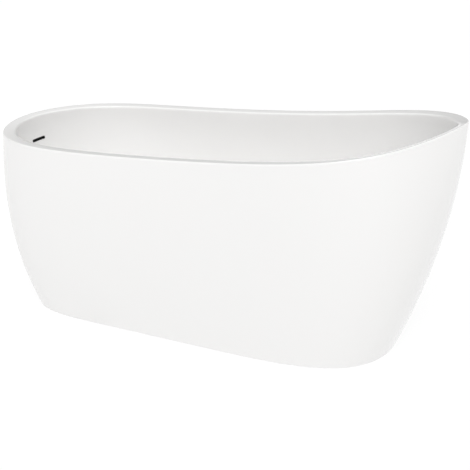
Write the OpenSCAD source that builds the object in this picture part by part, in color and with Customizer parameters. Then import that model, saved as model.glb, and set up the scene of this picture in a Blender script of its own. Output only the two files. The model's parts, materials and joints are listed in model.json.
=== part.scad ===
// Freestanding double-wall bathtub with one high back, a slotted overflow and a press-down waste.
// +X points to the high back, +Z is up, and the origin is on the floor under the middle of the rim.

/* [Rim] */
// Overall length, at the rim
tub_length = 1500; // [1300:10:1800]
// Overall width, at the rim
tub_width = 690; // [600:5:840]
// Rim height at the low foot end
rim_foot_h = 600; // [540:5:700]
// Rim height control a quarter of the way along
rim_quarter_h = 581; // [540:5:700]
// Rim height control at the middle
rim_middle_h = 621; // [560:5:720]
// Rim height control at three quarters
rim_shoulder_h = 612; // [560:5:740]
// Rim height at the high back
rim_head_h = 722; // [600:5:860]
// Width of the flat rim along the sides
rim_side_w = 42; // [36:1:60]
// Width of the flat rim at the foot end
rim_foot_w = 33; // [32:1:60]
// Width of the flat rim at the high back
rim_head_w = 27; // [26:1:60]
// Thickness of the flat rim
rim_t = 8; // [6:0.5:12]
// How far the rim falls towards the bath
rim_fall = 2; // [0:0.5:4]
// Radius worked on the rim's edges
rim_edge_r = 4; // [2:0.5:6]

/* [Outer skirt] */
// Length of the base in front of the middle, at the foot end
base_foot_x = 645; // [560:5:720]
// Length of the base behind the middle, at the head end
base_head_x = 607; // [540:5:700]
// Width of the base
base_width = 561; // [521:5:681]
// Thickness of the outer skirt
skirt_t = 6; // [4:0.5:8]
// Gap between the skirt and the floor
floor_gap = 2; // [1:0.5:6]

/* [Basin] */
// Thickness of the basin shell
shell_t = 8; // [6:0.5:10]
// Height of the basin floor at the waste
basin_floor_h = 140; // [134:1:170]
// Fall of the basin floor towards the waste, in degrees
floor_slope = 0.5; // [0:0.1:1]
// Half-length of the basin floor on the foot side
floor_foot_x = 520; // [490:5:540]
// Half-length of the basin floor on the head side
floor_head_x = 330; // [280:5:380]
// Width of the basin floor
floor_width = 400; // [360:5:430]

/* [Waste] */
// Place of the waste, from the middle towards the foot
waste_x = 400; // [340:5:420]
// Radius of the waste hole in the basin
waste_hole_r = 26; // [26:0.5:30]
// Radius of the waste flange
flange_r = 35; // [34:0.5:40]
// Thickness of the waste flange
flange_t = 3; // [2:0.5:4]
// Outer radius of the flange's threaded tube
flange_tube_r = 24; // [23:0.5:24]
// Wall of the flange's threaded tube
flange_tube_t = 3; // [2:0.5:4]
// Thickness of the upper seal
upper_seal_t = 1; // [0.5:0.5:2]
// Thickness of the lower gasket
lower_gasket_t = 3; // [2:0.5:4]
// Radius of the lower gasket
gasket_r = 40; // [38:1:44]
// Thickness of the seat moulded round the waste hole
seat_t = 3; // [2:0.5:4]
// Depth of the recess that the flange lies in
recess_depth = 2.5; // [2:0.5:3]
// Height of the waste's back nut
back_nut_h = 11; // [8:1:12]
// Lift of the stopper from shut to open
stopper_lift = 8.5; // [6:0.5:9]
// Radius of the stopper cap
cap_r = 31; // [29:0.5:33]
// Thickness of the stopper cap
cap_t = 4; // [3:0.5:5]
// Radius of the stopper stem
stem_r = 4; // [3:0.5:5]
// Radius of the stopper spring's coil
spring_r = 8; // [7.5:0.5:9]
// Radius of the stopper spring's wire
spring_wire_r = 0.9; // [0.7:0.1:1.2]
// Turns of the stopper spring
spring_turns = 5; // [3:1:6]
// Outer radius of the tail pipe
pipe_r = 20; // [18:0.5:20]
// Wall of the tail pipe
pipe_t = 1.5; // [1:0.5:2.5]
// Height of the tail pipe's free end above the floor
pipe_end_h = 8; // [4:1:12]

/* [Overflow] */
// Length of the overflow slot
slot_length = 66; // [60:1:120]
// Height of the overflow slot
slot_height = 7; // [7:0.5:14]
// Drop from the foot end's rim to the middle of the slot
slot_drop = 85; // [60:1:90]
// Width of the trim's border round its mouth
trim_border = 1.5; // [1:0.5:2.5]
// Thickness of the trim's border
trim_t = 1.2; // [1:0.1:2]
// Thickness of the overflow gasket
overflow_gasket_t = 1.5; // [1:0.5:2]
// Height of the overflow housing
housing_h = 30; // [26:1:36]
// Wall of the overflow housing
housing_t = 1.5; // [1:0.1:1.6]
// Outer radius of the overflow hose
hose_r = 9; // [8:0.5:9]
// Wall of the overflow hose
hose_t = 1.5; // [1:0.1:2]

/* [Frame and feet] */
// Side of the square tube that the frame is made of
rail_w = 25; // [20:1:30]
// Wall of the square tube
rail_t = 1.5; // [1:0.5:2.5]
// Distance between the long rails' centres
rail_spacing = 350; // [300:5:370]
// Distance from the middle to the foot end's cross rail
rail_foot_x = 510; // [480:5:530]
// Distance from the middle to the head end's cross rail
rail_head_x = 480; // [440:5:500]
// Place of the middle cross rail
rail_mid_x = -20; // [-60:5:60]
// Length of the long rails past the end cross rails
rail_overhang = 35; // [30:1:45]
// Thickness of the base board
board_t = 12; // [9:1:15]
// Least thickness of the laminate between the board and the basin
laminate_t = 5; // [4:0.5:8]
// Thread radius of the feet's studs
stud_r = 5.9; // [4.9:0.1:6.9]
// Lift of a foot in one turn of its stud
thread_pitch = 1.75; // [1.5:0.25:2]
// Radius of a foot's pad
pad_r = 25; // [20:1:32]
// Thickness of a foot's pad at its rim
pad_rim_t = 4; // [3:0.5:6]
// Full height of a foot's pad
pad_h = 12; // [11:0.5:16]
// Height of the nut welded under a rail
boss_h = 15; // [12:1:18]
// Height of a lock nut
lock_nut_h = 8; // [6:1:10]

/* [Hidden] */

$fn = 48;

// Overlap of joined solids and overshoot of cuts
eps = 0.01;
cut = 1;
// Clearances: turning thread, loose hole, sliding piece, glue line
thread_gap = 0.1;
hole_gap = 0.6;
slide_gap = 0.3;
glue_gap = 0.5;

// Shape exponents of the rim outline: foot half and head half, along and across
rim_pow = [5.5, 5.5, 1.8, 1.2];
// Shape exponents of the skirt's base outline
base_pow = [8.25, 4.2, 3.0, 2.4];
// Shape exponents of the basin floor outline
floor_pow = [4.0, 3.2, 2.4, 2.0];
// How fast the skirt spreads from base to rim: foot, head, sides
spread_pow = [2.55, 1.91, 2.1];
// How the basin's wall rises from its floor: foot, head, sides
rise_pow = [1.6, 1.5, 1.8];

// Share of the half-width over which an outline's tip is rounded off
tip_blend = 0.35;

// Steps in a quarter of an outline, and how they crowd towards its sides
quarter_steps = 22;
crowding = 1.6;
ring_steps = 4 * quarter_steps;
skirt_rows = 10;
basin_rows = 11;
// Share of a rounded edge's radius that its middle stands in from the corner
edge_share = 0.3;

half_length = tub_length / 2;
half_width = tub_width / 2;

// ---- outlines ----

// Share of the way round a quarter, as a cosine and a sine
function quarter_cos(j) = sin(90 * pow(1 - j / quarter_steps, crowding));
function quarter_sin(j) = cos(90 * pow(1 - j / quarter_steps, crowding));

// Direction numbers of outline point i: signed cosine and sine
function ring_cs(i) =
    let (q = floor(i / quarter_steps), j = i - q * quarter_steps, k = quarter_steps - j)
    q == 0 ? [quarter_cos(j), quarter_sin(j)] :
    q == 1 ? [-quarter_cos(k), quarter_sin(k)] :
    q == 2 ? [-quarter_cos(j), -quarter_sin(j)] :
    [quarter_cos(k), -quarter_sin(k)];

// One outline point; size is [foot length, head length, half-width], pows as above
// The tips stay round because the sine's power fades out below tip_blend
function blend_sine(s, p) =
    s * pow((s * s + tip_blend * tip_blend) / (1 + tip_blend * tip_blend), 1 / p - 0.5);
function outline_point(i, size, pows) =
    let (cs = ring_cs(i), head = cs[0] >= 0)
    [
        (head ? size[1] : -size[0]) * pow(abs(cs[0]), 2 / pows[head ? 1 : 0]),
        size[2] * blend_sine(cs[1], pows[head ? 3 : 2])
    ];

function mix(a, b, t) = a + (b - a) * t;
function outline(size, pows) = [for (i = [0:ring_steps - 1]) outline_point(i, size, pows)];
// Half-width of an outline at x
function outline_y(x, size, pows) =
    let (head = x >= 0,
         a = head ? size[1] : size[0],
         s = sqrt(max(0, 1 - pow(abs(x) / a, pows[head ? 1 : 0]))))
    size[2] * blend_sine(s, pows[head ? 3 : 2]);

// ---- rim ----

rim_size = [half_length, half_length, half_width];
mouth_size = [half_length - rim_foot_w, half_length - rim_head_w, half_width - rim_side_w];
rim_heights = [rim_foot_h, rim_quarter_h, rim_middle_h, rim_shoulder_h, rim_head_h];
binomial = [1, 4, 6, 4, 1];

// Height of the rim at x, a smooth curve led by the five heights
function rim_z(x) =
    let (t = min(1, max(0, x / tub_length + 0.5)))
    [for (i = [0:4]) binomial[i] * pow(t, i) * pow(1 - t, 4 - i)] * rim_heights;

function lift(points, drop) = [for (p = points) [p[0], p[1], rim_z(p[0]) - drop]];
function grow(size, by) = [size[0] + by, size[1] + by, size[2] + by];

// ---- outer skirt ----

base_size = [base_foot_x, base_head_x, base_width / 2];
function spread(u, i) = 1 - pow(1 - u, spread_pow[i]);
// Size of the skirt's outline at share u of the rim's height
function skirt_size(u) = [for (i = [0:2]) mix(base_size[i], rim_size[i], spread(u, i))];
function skirt_ring(u, inset) =
    let (points = outline(grow(skirt_size(u), -inset), mix(base_pow, rim_pow, u)),
         rim = outline(rim_size, rim_pow))
    [for (i = [0:ring_steps - 1])
        [points[i][0], points[i][1], mix(floor_gap, rim_z(rim[i][0]) - rim_t, u)]];
// The skirt's top edge follows the underside of the rim, a glue line below it, from its outer edge inwards
function skirt_top(inset) =
    let (outer = lift(outline(rim_size, rim_pow), rim_t),
         inner = basin_ring(1, shell_t))
    [for (i = [0:ring_steps - 1])
        mix(outer[i], inner[i], inset / norm(inner[i] - outer[i])) - [0, 0, glue_gap]];
// Inner face of the skirt at the foot end, and its half-width, at height z
function skirt_foot_x(z) = -skirt_size((z - floor_gap) / (rim_foot_h - rim_t - floor_gap))[0] + skirt_t;
function skirt_y(x, z) =
    let (u = z / rim_z(x))
    outline_y(x, skirt_size(u), mix(base_pow, rim_pow, u)) - skirt_t;

// ---- basin ----

floor_size = [floor_foot_x, floor_head_x, floor_width / 2];
waste_pos_x = -waste_x;
function floor_z(x) = basin_floor_h + (x - waste_pos_x) * tan(floor_slope);
// Share of the way outwards that the wall has gone at share v of its height
function rise(v, i) = pow(1 - pow(1 - v, rise_pow[i]), 1 / rise_pow[i]);
function basin_size(v) = [for (i = [0:2]) mix(floor_size[i], mouth_size[i], rise(v, i))];
// Ring of the basin's inner face at share v, or of its outer face with t more all round
function basin_ring(v, t) =
    let (points = outline(grow(basin_size(v), t), mix(floor_pow, rim_pow, v)),
         feet = outline(grow(floor_size, t), floor_pow),
         mouth = outline(mouth_size, rim_pow),
         drop = t > 0 ? rim_t : rim_fall + rim_edge_r)
    [for (i = [0:ring_steps - 1])
        [points[i][0], points[i][1], mix(floor_z(feet[i][0]) - t, rim_z(mouth[i][0]) - drop, v)]];
function basin_share(k) = 1 - cos(90 * k / basin_rows);

// Inner face of the basin at the foot end's middle, at height z
function basin_foot_x(z) =
    let (low = floor_z(-floor_foot_x), top = rim_z(-mouth_size[0]) - rim_fall - rim_edge_r)
    -basin_size(min(1, (z - low) / (top - low)))[0];

// ---- lofts ----

// Quads between two rings, as triangles; loop closes the last ring to the first
function loft_faces(rows, loop) = [
    for (r = [0:rows - (loop ? 1 : 2)])
        for (i = [0:ring_steps - 1])
            let (a = r * ring_steps,
                 b = ((r + 1) % rows) * ring_steps,
                 j = (i + 1) % ring_steps)
            each [[a + i, b + i, b + j], [a + i, b + j, a + j]]
];

module loft(rings, loop = false) {
    rows = len(rings);
    last = (rows - 1) * ring_steps;
    low_cap = [for (i = [0:ring_steps - 1]) i];
    high_cap = [for (i = [ring_steps - 1:-1:0]) last + i];
    polyhedron(
        points = [for (r = rings) each r],
        faces = loop ? loft_faces(rows, true) : concat(loft_faces(rows, false), [low_cap, high_cap]),
        convexity = 10
    );
}

// ---- general solids ----

module tube(r_out, r_in, h) {
    difference() {
        cylinder(r = r_out, h = h);
        translate([0, 0, -cut]) cylinder(r = r_in, h = h + 2 * cut);
    }
}

module hex_nut(across_flats, r_in, h) {
    difference() {
        cylinder(r = across_flats / 2 / cos(30), h = h, $fn = 6);
        translate([0, 0, -cut]) cylinder(r = r_in, h = h + 2 * cut);
    }
}

// Slot-shaped bar of a length and a height, running along +X from the origin
module slot_bar(length, height, depth) {
    flat = length - height;
    translate([0, -flat / 2, -height / 2]) cube([depth, flat, height]);
    for (side = [-1, 1])
        translate([0, side * flat / 2, 0]) rotate([0, 90, 0]) cylinder(d = height, h = depth);
}

// ---- levels ----

seat_z = basin_floor_h - recess_depth;
shell_under_z = basin_floor_h - shell_t;
seat_low_z = shell_under_z - seat_t;
board_top_z = shell_under_z - laminate_t;
board_low_z = board_top_z - board_t;
rail_low_z = board_low_z - rail_w;
boss_low_z = rail_low_z - boss_h;
flange_low_z = seat_z + upper_seal_t;
flange_top_z = flange_low_z + flange_t;
gasket_low_z = seat_low_z - lower_gasket_t;
back_nut_low_z = gasket_low_z - back_nut_h;

// ---- basin and skirt ----

recess_r = flange_r + 2;
seat_r = gasket_r + 5;

module basin_shell() {
    under = [for (k = [0:basin_rows]) basin_ring(basin_share(k), shell_t)];
    edge = [
        lift(outline(rim_size, rim_pow), rim_t),
        lift(outline(rim_size, rim_pow), rim_edge_r),
        lift(outline(grow(rim_size, -rim_edge_r * edge_share), rim_pow), rim_edge_r * edge_share),
        lift(outline(grow(rim_size, -rim_edge_r), rim_pow), 0),
        lift(outline(grow(mouth_size, rim_edge_r), rim_pow), rim_fall),
        lift(outline(grow(mouth_size, rim_edge_r * edge_share), rim_pow), rim_fall + rim_edge_r * edge_share)
    ];
    bath = [for (k = [basin_rows:-1:0]) basin_ring(basin_share(k), 0)];
    color("white")
        difference() {
            union() {
                loft(concat(under, edge, bath));
                translate([waste_pos_x, 0, seat_low_z]) cylinder(r = seat_r, h = seat_t + shell_t / 2);
            }
            translate([waste_pos_x, 0, seat_z]) cylinder(r = recess_r, h = recess_depth * 3);
            translate([waste_pos_x, 0, seat_low_z - cut]) cylinder(r = waste_hole_r, h = shell_t * 3);
            at_overflow()
                translate([-shell_t * 2, 0, 0])
                    slot_bar(slot_length, slot_height, shell_t * 3);
            // Seat worked flat to the trim's curve
            at_overflow()
                intersection() {
                    wall_layer(-shell_t, 0);
                    translate([-shell_t, 0, 0])
                        slot_bar(trim_length + 2 * slide_gap, trim_height + 2 * slide_gap, shell_t * 3);
                }
        }
}

module outer_skirt() {
    outside = [for (k = [0:skirt_rows - 1]) skirt_ring(k / skirt_rows, 0)];
    inside = [for (k = [skirt_rows - 1:-1:0]) skirt_ring(k / skirt_rows, skirt_t)];
    color("white") loft(concat(outside, [skirt_top(0), skirt_top(skirt_t)], inside), loop = true);
}

// ---- laminate and board ----

board_inset = 18;
board_size = grow(floor_size, -board_inset);
laminate_hole_r = seat_r + 4;
board_hole_r = seat_r + 8;

module floor_laminate() {
    under_z = shell_under_z - eps;
    color("tan")
        difference() {
            translate([0, 0, board_top_z])
                linear_extrude(laminate_t + tub_length * tan(floor_slope))
                    polygon(outline(board_size, floor_pow));
            translate([waste_pos_x, 0, under_z])
                rotate([0, -floor_slope, 0])
                    translate([-tub_length, -tub_width / 2, 0])
                        cube([2 * tub_length, tub_width, tub_width]);
            translate([waste_pos_x, 0, board_top_z - cut]) cylinder(r = laminate_hole_r, h = tub_width / 4);
        }
}

screw_r = 2;
screw_head_r = 4.5;
screw_head_h = 2.5;
screw_bite = 8;
board_screw_xs = [-rail_foot_x * 0.7, rail_mid_x - 60, rail_mid_x + 60, floor_head_x * 0.72];

// Places of the screws that go up through the long rails into the board
function board_screw_places() = [
    for (side = [-1, 1]) for (x = board_screw_xs) [x, side * rail_spacing / 2, board_low_z]
];

module base_board() {
    color("burlywood")
        difference() {
            translate([0, 0, board_low_z]) linear_extrude(board_t) polygon(outline(board_size, floor_pow));
            translate([waste_pos_x, 0, board_low_z - cut]) cylinder(r = board_hole_r, h = board_t + 2 * cut);
            for (p = board_screw_places())
                translate([p[0], p[1], board_low_z - cut]) cylinder(r = screw_r, h = screw_bite + cut);
        }
}

// A screw standing head down at the origin, with its tip up
module screw(length) {
    cylinder(r = screw_head_r, h = screw_head_h);
    translate([0, 0, screw_head_h - eps]) cylinder(r = screw_r, h = length);
}

module board_screws() {
    color("silver")
        for (p = board_screw_places())
            translate([p[0], p[1], board_low_z - rail_t - screw_head_h]) screw(rail_t + screw_bite - eps);
}

// ---- frame ----

stud_hole_r = stud_r + hole_gap;
boss_bore_r = stud_r + thread_gap;
boss_r = stud_r + 5;
strap_t = 3;
strap_w = 30;
strap_overlap = 20;
strap_xs = [-rail_foot_x + 75, rail_mid_x + 110, rail_head_x - 90];

// Centre of each foot: four under the long rails and one under the middle cross rail
foot_places = [
    [-rail_foot_x, -rail_spacing / 2], [-rail_foot_x, rail_spacing / 2],
    [rail_head_x, -rail_spacing / 2], [rail_head_x, rail_spacing / 2],
    [rail_mid_x, 0]
];

// Square tube along +X from x0 to x1, hollow from end to end
module square_tube(x0, x1) {
    inner = rail_w - 2 * rail_t;
    difference() {
        translate([x0, -rail_w / 2, 0]) cube([x1 - x0, rail_w, rail_w]);
        translate([x0 - cut, -inner / 2, rail_t]) cube([x1 - x0 + 2 * cut, inner, inner]);
    }
}

module long_rail(side) {
    color("dimgray")
        difference() {
            translate([0, side * rail_spacing / 2, rail_low_z])
                square_tube(-rail_foot_x - rail_overhang, rail_head_x + rail_overhang);
            for (p = foot_places)
                if (p[1] * side > 0)
                    translate([p[0], p[1], rail_low_z - cut]) cylinder(r = stud_hole_r, h = rail_t + 2 * cut);
            for (p = board_screw_places()) {
                if (p[1] * side > 0) {
                    translate([p[0], p[1], board_low_z - rail_t - cut])
                        cylinder(r = screw_r, h = rail_t + 2 * cut);
                    translate([p[0], p[1], rail_low_z - cut])
                        cylinder(r = screw_head_r + 1, h = rail_t + 2 * cut);
                }
            }
            for (x = strap_xs)
                translate([x, side * rail_spacing / 2, rail_low_z - cut])
                    cylinder(r = screw_r, h = rail_t + 2 * cut);
        }
}

module cross_rail(x) {
    reach = (rail_spacing - rail_w) / 2;
    color("dimgray")
        difference() {
            translate([x, 0, rail_low_z]) rotate([0, 0, 90]) square_tube(-reach, reach);
            for (p = foot_places)
                if (p[0] == x && p[1] == 0)
                    translate([p[0], p[1], rail_low_z - cut]) cylinder(r = stud_hole_r, h = rail_t + 2 * cut);
        }
}

plug_cap_t = 2;
plug_depth = 12;

module rail_plugs() {
    inner = rail_w - 2 * rail_t;
    color("black")
        for (side = [-1, 1])
            for (end = [-1, 1]) {
                end_x = end < 0 ? -rail_foot_x - rail_overhang : rail_head_x + rail_overhang;
                translate([end_x, side * rail_spacing / 2, rail_low_z + rail_w / 2])
                    mirror([end < 0 ? 1 : 0, 0, 0]) {
                        translate([0, -rail_w / 2, -rail_w / 2]) cube([plug_cap_t, rail_w, rail_w]);
                        translate([-plug_depth, -inner / 2, -inner / 2])
                            cube([plug_depth + eps, inner, inner]);
                    }
            }
}

// ---- straps and blocks that hold the skirt ----

block_w = 44;
block_h = 32;
block_depth = 38;
strap_screw_back = 20;

// Least distance from the middle to the skirt's inner face over a block's width
function block_reach(x) =
    min(skirt_y(x - block_w / 2, rail_low_z), skirt_y(x + block_w / 2, rail_low_z));

module skirt_straps() {
    color("silver")
        for (side = [-1, 1])
            for (x = strap_xs) {
                inner_y = rail_spacing / 2 - strap_overlap;
                outer_y = block_reach(x) - 4;
                difference() {
                    translate([x - strap_w / 2, side > 0 ? inner_y : -outer_y, rail_low_z - strap_t])
                        cube([strap_w, outer_y - inner_y, strap_t]);
                    for (y = [rail_spacing / 2, block_reach(x) - strap_screw_back])
                        translate([x, side * y, rail_low_z - strap_t - cut])
                            cylinder(r = screw_r, h = strap_t + 2 * cut);
                }
            }
}

// The inside of the skirt as a solid, to which the blocks are fitted
module skirt_inside() {
    loft([for (k = [0:3]) skirt_ring(k / skirt_rows, skirt_t + glue_gap)]);
}

module skirt_blocks() {
    color("burlywood")
        difference() {
            intersection() {
                skirt_inside();
                for (side = [-1, 1])
                    for (x = strap_xs)
                        translate([x - block_w / 2, side * (block_reach(x) - block_depth), rail_low_z])
                            mirror([0, side < 0 ? 1 : 0, 0])
                                cube([block_w, block_depth * 2, block_h]);
            }
            for (side = [-1, 1])
                for (x = strap_xs)
                    translate([x, side * (block_reach(x) - strap_screw_back), rail_low_z - cut])
                        cylinder(r = screw_r, h = screw_bite * 2 + cut);
        }
}

module strap_screws() {
    color("silver")
        for (side = [-1, 1])
            for (x = strap_xs)
                for (y = [rail_spacing / 2, block_reach(x) - strap_screw_back])
                    translate([x, side * y, rail_low_z - strap_t - screw_head_h])
                        screw(strap_t + screw_bite * (y > rail_spacing / 2 ? 2 : 1) - eps);
}

// ---- levelling feet ----

pad_hub_r = stud_r + 7;
socket_floor_z = 5;
stud_foot_z = socket_floor_z + slide_gap;
collar_h = 6;
collar_flats = 17;
nut_flats = 18;
stud_top_z = rail_low_z + rail_w - rail_t - 8;

module foot_boss(p) {
    color("dimgray") translate([p[0], p[1], boss_low_z]) tube(boss_r, boss_bore_r, boss_h);
}

module foot_lock_nut(p) {
    color("silver") translate([p[0], p[1], boss_low_z - lock_nut_h]) hex_nut(nut_flats, boss_bore_r, lock_nut_h);
}

module foot_stud(p) {
    color("silver")
        translate([p[0], p[1], 0]) {
            translate([0, 0, stud_foot_z]) cylinder(r = stud_r, h = stud_top_z - stud_foot_z);
            translate([0, 0, pad_h + slide_gap])
                cylinder(r = collar_flats / 2 / cos(30), h = collar_h, $fn = 6);
        }
}

module foot_pad(p) {
    color("black")
        translate([p[0], p[1], 0])
            rotate_extrude()
                polygon([
                    [0, 0], [pad_r - 1, 0], [pad_r, 1], [pad_r, pad_rim_t],
                    [pad_hub_r, pad_h], [stud_r + slide_gap, pad_h],
                    [stud_r + slide_gap, socket_floor_z], [0, socket_floor_z]
                ]);
}

// ---- waste ----

throat_r = flange_tube_r - flange_tube_t;
body_socket_r = flange_tube_r + slide_gap;
body_r = body_socket_r + 4;
body_top_z = back_nut_low_z - 2;
inlet_z = 62;
spigot_r = hose_r - hose_t - 0.4;
spigot_bore_r = spigot_r - 1.5;
spigot_len = 24;
outlet_r = pipe_r + 3;
outlet_top_z = 44;
outlet_low_z = 30;
flange_tube_low_z = inlet_z + spigot_r + 8;
inlet_collar = 3;
outlet_stop = 3;
slip_nut_low_z = outlet_low_z - 4;
slip_nut_h = 14;
// Length of the tail pipe's free end that takes a socket, and how much thinner the pipe is above it
pipe_grip = slip_nut_low_z - 1 - pipe_end_h;
pipe_waist = 0.4;

// Brass flange with its threaded tube, and a shallow cone down to its throat
module waste_flange() {
    color("silver")
        translate([waste_pos_x, 0, 0])
            rotate_extrude()
                polygon([
                    [throat_r, flange_tube_low_z], [flange_tube_r, flange_tube_low_z],
                    [flange_tube_r, flange_low_z], [flange_r, flange_low_z],
                    [flange_r, flange_top_z - 1], [flange_r - 1.5, flange_top_z],
                    [throat_r + 3, flange_top_z], [throat_r, flange_top_z - 2]
                ]);
}

module waste_seal() {
    color("black")
        translate([waste_pos_x, 0, seat_z]) tube(flange_r - 1, flange_tube_r + slide_gap, upper_seal_t);
}

module waste_gasket() {
    color("black")
        translate([waste_pos_x, 0, gasket_low_z]) tube(gasket_r, flange_tube_r + slide_gap, lower_gasket_t);
}

module waste_back_nut() {
    lugs = 6;
    lug_w = 8;
    lug_root = 2;
    lug_reach = 3;
    nut_r = gasket_r - 6;
    color("silver")
        translate([waste_pos_x, 0, back_nut_low_z])
            difference() {
                union() {
                    cylinder(r = nut_r, h = back_nut_h);
                    for (i = [0:lugs - 1])
                        rotate([0, 0, i * 360 / lugs])
                            translate([nut_r - lug_root, -lug_w / 2, 0])
                                cube([lug_root + lug_reach, lug_w, back_nut_h]);
                }
                translate([0, 0, -cut]) cylinder(r = flange_tube_r + thread_gap, h = back_nut_h + 2 * cut);
            }
}

// Tee: socket for the flange's tube, side inlet for the overflow, outlet downwards
module waste_body() {
    color("gray")
        translate([waste_pos_x, 0, 0])
            difference() {
                union() {
                    translate([0, 0, outlet_top_z]) cylinder(r = body_r, h = body_top_z - outlet_top_z);
                    translate([0, 0, outlet_low_z])
                        cylinder(r = outlet_r, h = outlet_top_z - outlet_low_z + eps);
                    translate([-body_r - spigot_len, 0, inlet_z])
                        rotate([0, 90, 0]) cylinder(r = spigot_r, h = body_r + spigot_len);
                    translate([-body_r - inlet_collar, 0, inlet_z])
                        rotate([0, 90, 0]) cylinder(r = spigot_r + inlet_collar, h = body_r);
                }
                translate([0, 0, flange_tube_low_z - 1])
                    cylinder(r = body_socket_r, h = body_top_z);
                translate([0, 0, outlet_top_z + outlet_stop])
                    cylinder(r = throat_r, h = body_top_z);
                translate([0, 0, outlet_low_z - cut])
                    cylinder(r = pipe_r + slide_gap, h = outlet_top_z - outlet_low_z + outlet_stop + 2 * cut);
                translate([-body_r - spigot_len - cut, 0, inlet_z])
                    rotate([0, 90, 0]) cylinder(r = spigot_bore_r, h = body_r + spigot_len);
            }
}

module tail_pipe() {
    pipe_h = outlet_top_z - pipe_end_h;
    color("gray")
        translate([waste_pos_x, 0, pipe_end_h])
            difference() {
                union() {
                    cylinder(r = pipe_r, h = pipe_grip);
                    cylinder(r = pipe_r - pipe_waist, h = pipe_h);
                }
                translate([0, 0, -cut]) cylinder(r = pipe_r - pipe_t, h = pipe_h + 2 * cut);
            }
}

module tail_slip_nut() {
    grip_sides = 8;
    grip_wall = 6;
    color("gray")
        translate([waste_pos_x, 0, slip_nut_low_z])
            difference() {
                cylinder(r = outlet_r + grip_wall, h = slip_nut_h, $fn = grip_sides);
                translate([0, 0, outlet_low_z - slip_nut_low_z])
                    cylinder(r = outlet_r + thread_gap, h = slip_nut_h);
                translate([0, 0, -cut]) cylinder(r = pipe_r + thread_gap, h = slip_nut_h + 2 * cut);
            }
}

// ---- stopper ----

guide_h = 10;
guide_hub_r = spring_r + spring_wire_r + 1;
guide_z = flange_tube_low_z + 6;
guide_top_z = guide_z + guide_h;
cap_seal_t = 2;
cap_seal_z = flange_top_z + stopper_lift + slide_gap;
cap_z = cap_seal_z + cap_seal_t;
spring_seat_z = cap_z - 3;

module stopper_guide() {
    spokes = 3;
    color("silver")
        translate([waste_pos_x, 0, guide_z])
            difference() {
                union() {
                    cylinder(r = guide_hub_r, h = guide_h);
                    tube(throat_r - thread_gap, throat_r - 2.5, guide_h);
                    for (i = [0:spokes - 1])
                        rotate([0, 0, i * 360 / spokes])
                            translate([guide_hub_r - 2, -2, 0])
                                cube([throat_r - guide_hub_r + 0.5, 4, guide_h]);
                }
                translate([0, 0, -cut]) cylinder(r = stem_r + thread_gap / 2, h = guide_h + 2 * cut);
            }
}

module stopper_stem() {
    clip_h = 2;
    color("silver")
        translate([waste_pos_x, 0, 0]) {
            translate([0, 0, guide_z - clip_h - slide_gap])
                cylinder(r = stem_r, h = cap_z + eps - guide_z + clip_h + slide_gap);
            translate([0, 0, guide_z - clip_h - slide_gap]) cylinder(r = stem_r + 2, h = clip_h);
            translate([0, 0, spring_seat_z]) cylinder(r = spring_r + spring_wire_r, h = cap_z - spring_seat_z);
        }
}

module stopper_cap() {
    dome_h = 1.5;
    color("silver")
        translate([waste_pos_x, 0, cap_z])
            rotate_extrude()
                polygon([
                    [0, 0], [cap_r - 1, 0], [cap_r, 1], [cap_r, cap_t - 1.5],
                    [cap_r - 1.5, cap_t], [cap_r * 0.5, cap_t + dome_h * 0.75], [0, cap_t + dome_h]
                ]);
}

module stopper_seal() {
    color("black") translate([waste_pos_x, 0, cap_seal_z]) tube(throat_r + 7, throat_r - 2, cap_seal_t);
}

// Coil spring between the guide and the stem's head, with flat end turns
spring_sides = 6;
spring_steps = 12;

function spring_centre(s) =
    let (low = guide_top_z + spring_wire_r + thread_gap, high = spring_seat_z - spring_wire_r - thread_gap,
         turn = s / spring_steps)
    [spring_r * cos(360 * turn), spring_r * sin(360 * turn), mix(low, high, turn / spring_turns)];

module stopper_spring() {
    count = spring_turns * spring_steps;
    points = [
        for (s = [0:count])
            let (c = spring_centre(s), a = 360 * s / spring_steps)
            for (k = [0:spring_sides - 1])
                let (b = 360 * k / spring_sides, out = spring_wire_r * cos(b))
                [c[0] + out * cos(a), c[1] + out * sin(a), c[2] + spring_wire_r * sin(b)]
    ];
    sides = [
        for (s = [0:count - 1])
            for (k = [0:spring_sides - 1])
                let (a = s * spring_sides, b = a + spring_sides, j = (k + 1) % spring_sides)
                each [[a + k, b + j, b + k], [a + k, a + j, b + j]]
    ];
    start = [for (k = [spring_sides - 1:-1:0]) k];
    finish = [for (k = [0:spring_sides - 1]) count * spring_sides + k];
    color("silver")
        translate([waste_pos_x, 0, 0])
            polyhedron(points = points, faces = concat(sides, [start, finish]), convexity = 10);
}

// ---- overflow ----

slot_z = rim_foot_h - slot_drop;
slot_x = basin_foot_x(slot_z);
// Lean of the wall at the slot, and the radius that the wall bends to in plan
wall_lean = atan((basin_foot_x(slot_z + 10) - basin_foot_x(slot_z - 10)) / 20);
trim_length = slot_length + 2 * trim_border;
trim_height = slot_height + 2 * trim_border;
slot_share = (slot_z - floor_z(-floor_foot_x)) / (rim_foot_h - floor_z(-floor_foot_x));
slot_pow = mix(floor_pow, rim_pow, slot_share);
// Sine whose outline point lies half a trim's length to the side, near enough for so blunt an end
slot_sine = trim_length / 2 / basin_size(slot_share)[2] / blend_sine(0.2, slot_pow[2]) * 0.2;
slot_bend_x = -slot_x * (1 - pow(1 - slot_sine * slot_sine, 1 / slot_pow[0]));
wall_bend_r = (pow(trim_length / 2, 2) + slot_bend_x * slot_bend_x) / 2 / slot_bend_x;

// Frame on the wall's inner face at the slot: +X into the bath, +Z up along the wall
module at_overflow() {
    translate([slot_x, 0, slot_z]) rotate([0, wall_lean, 0]) children();
}

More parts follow.
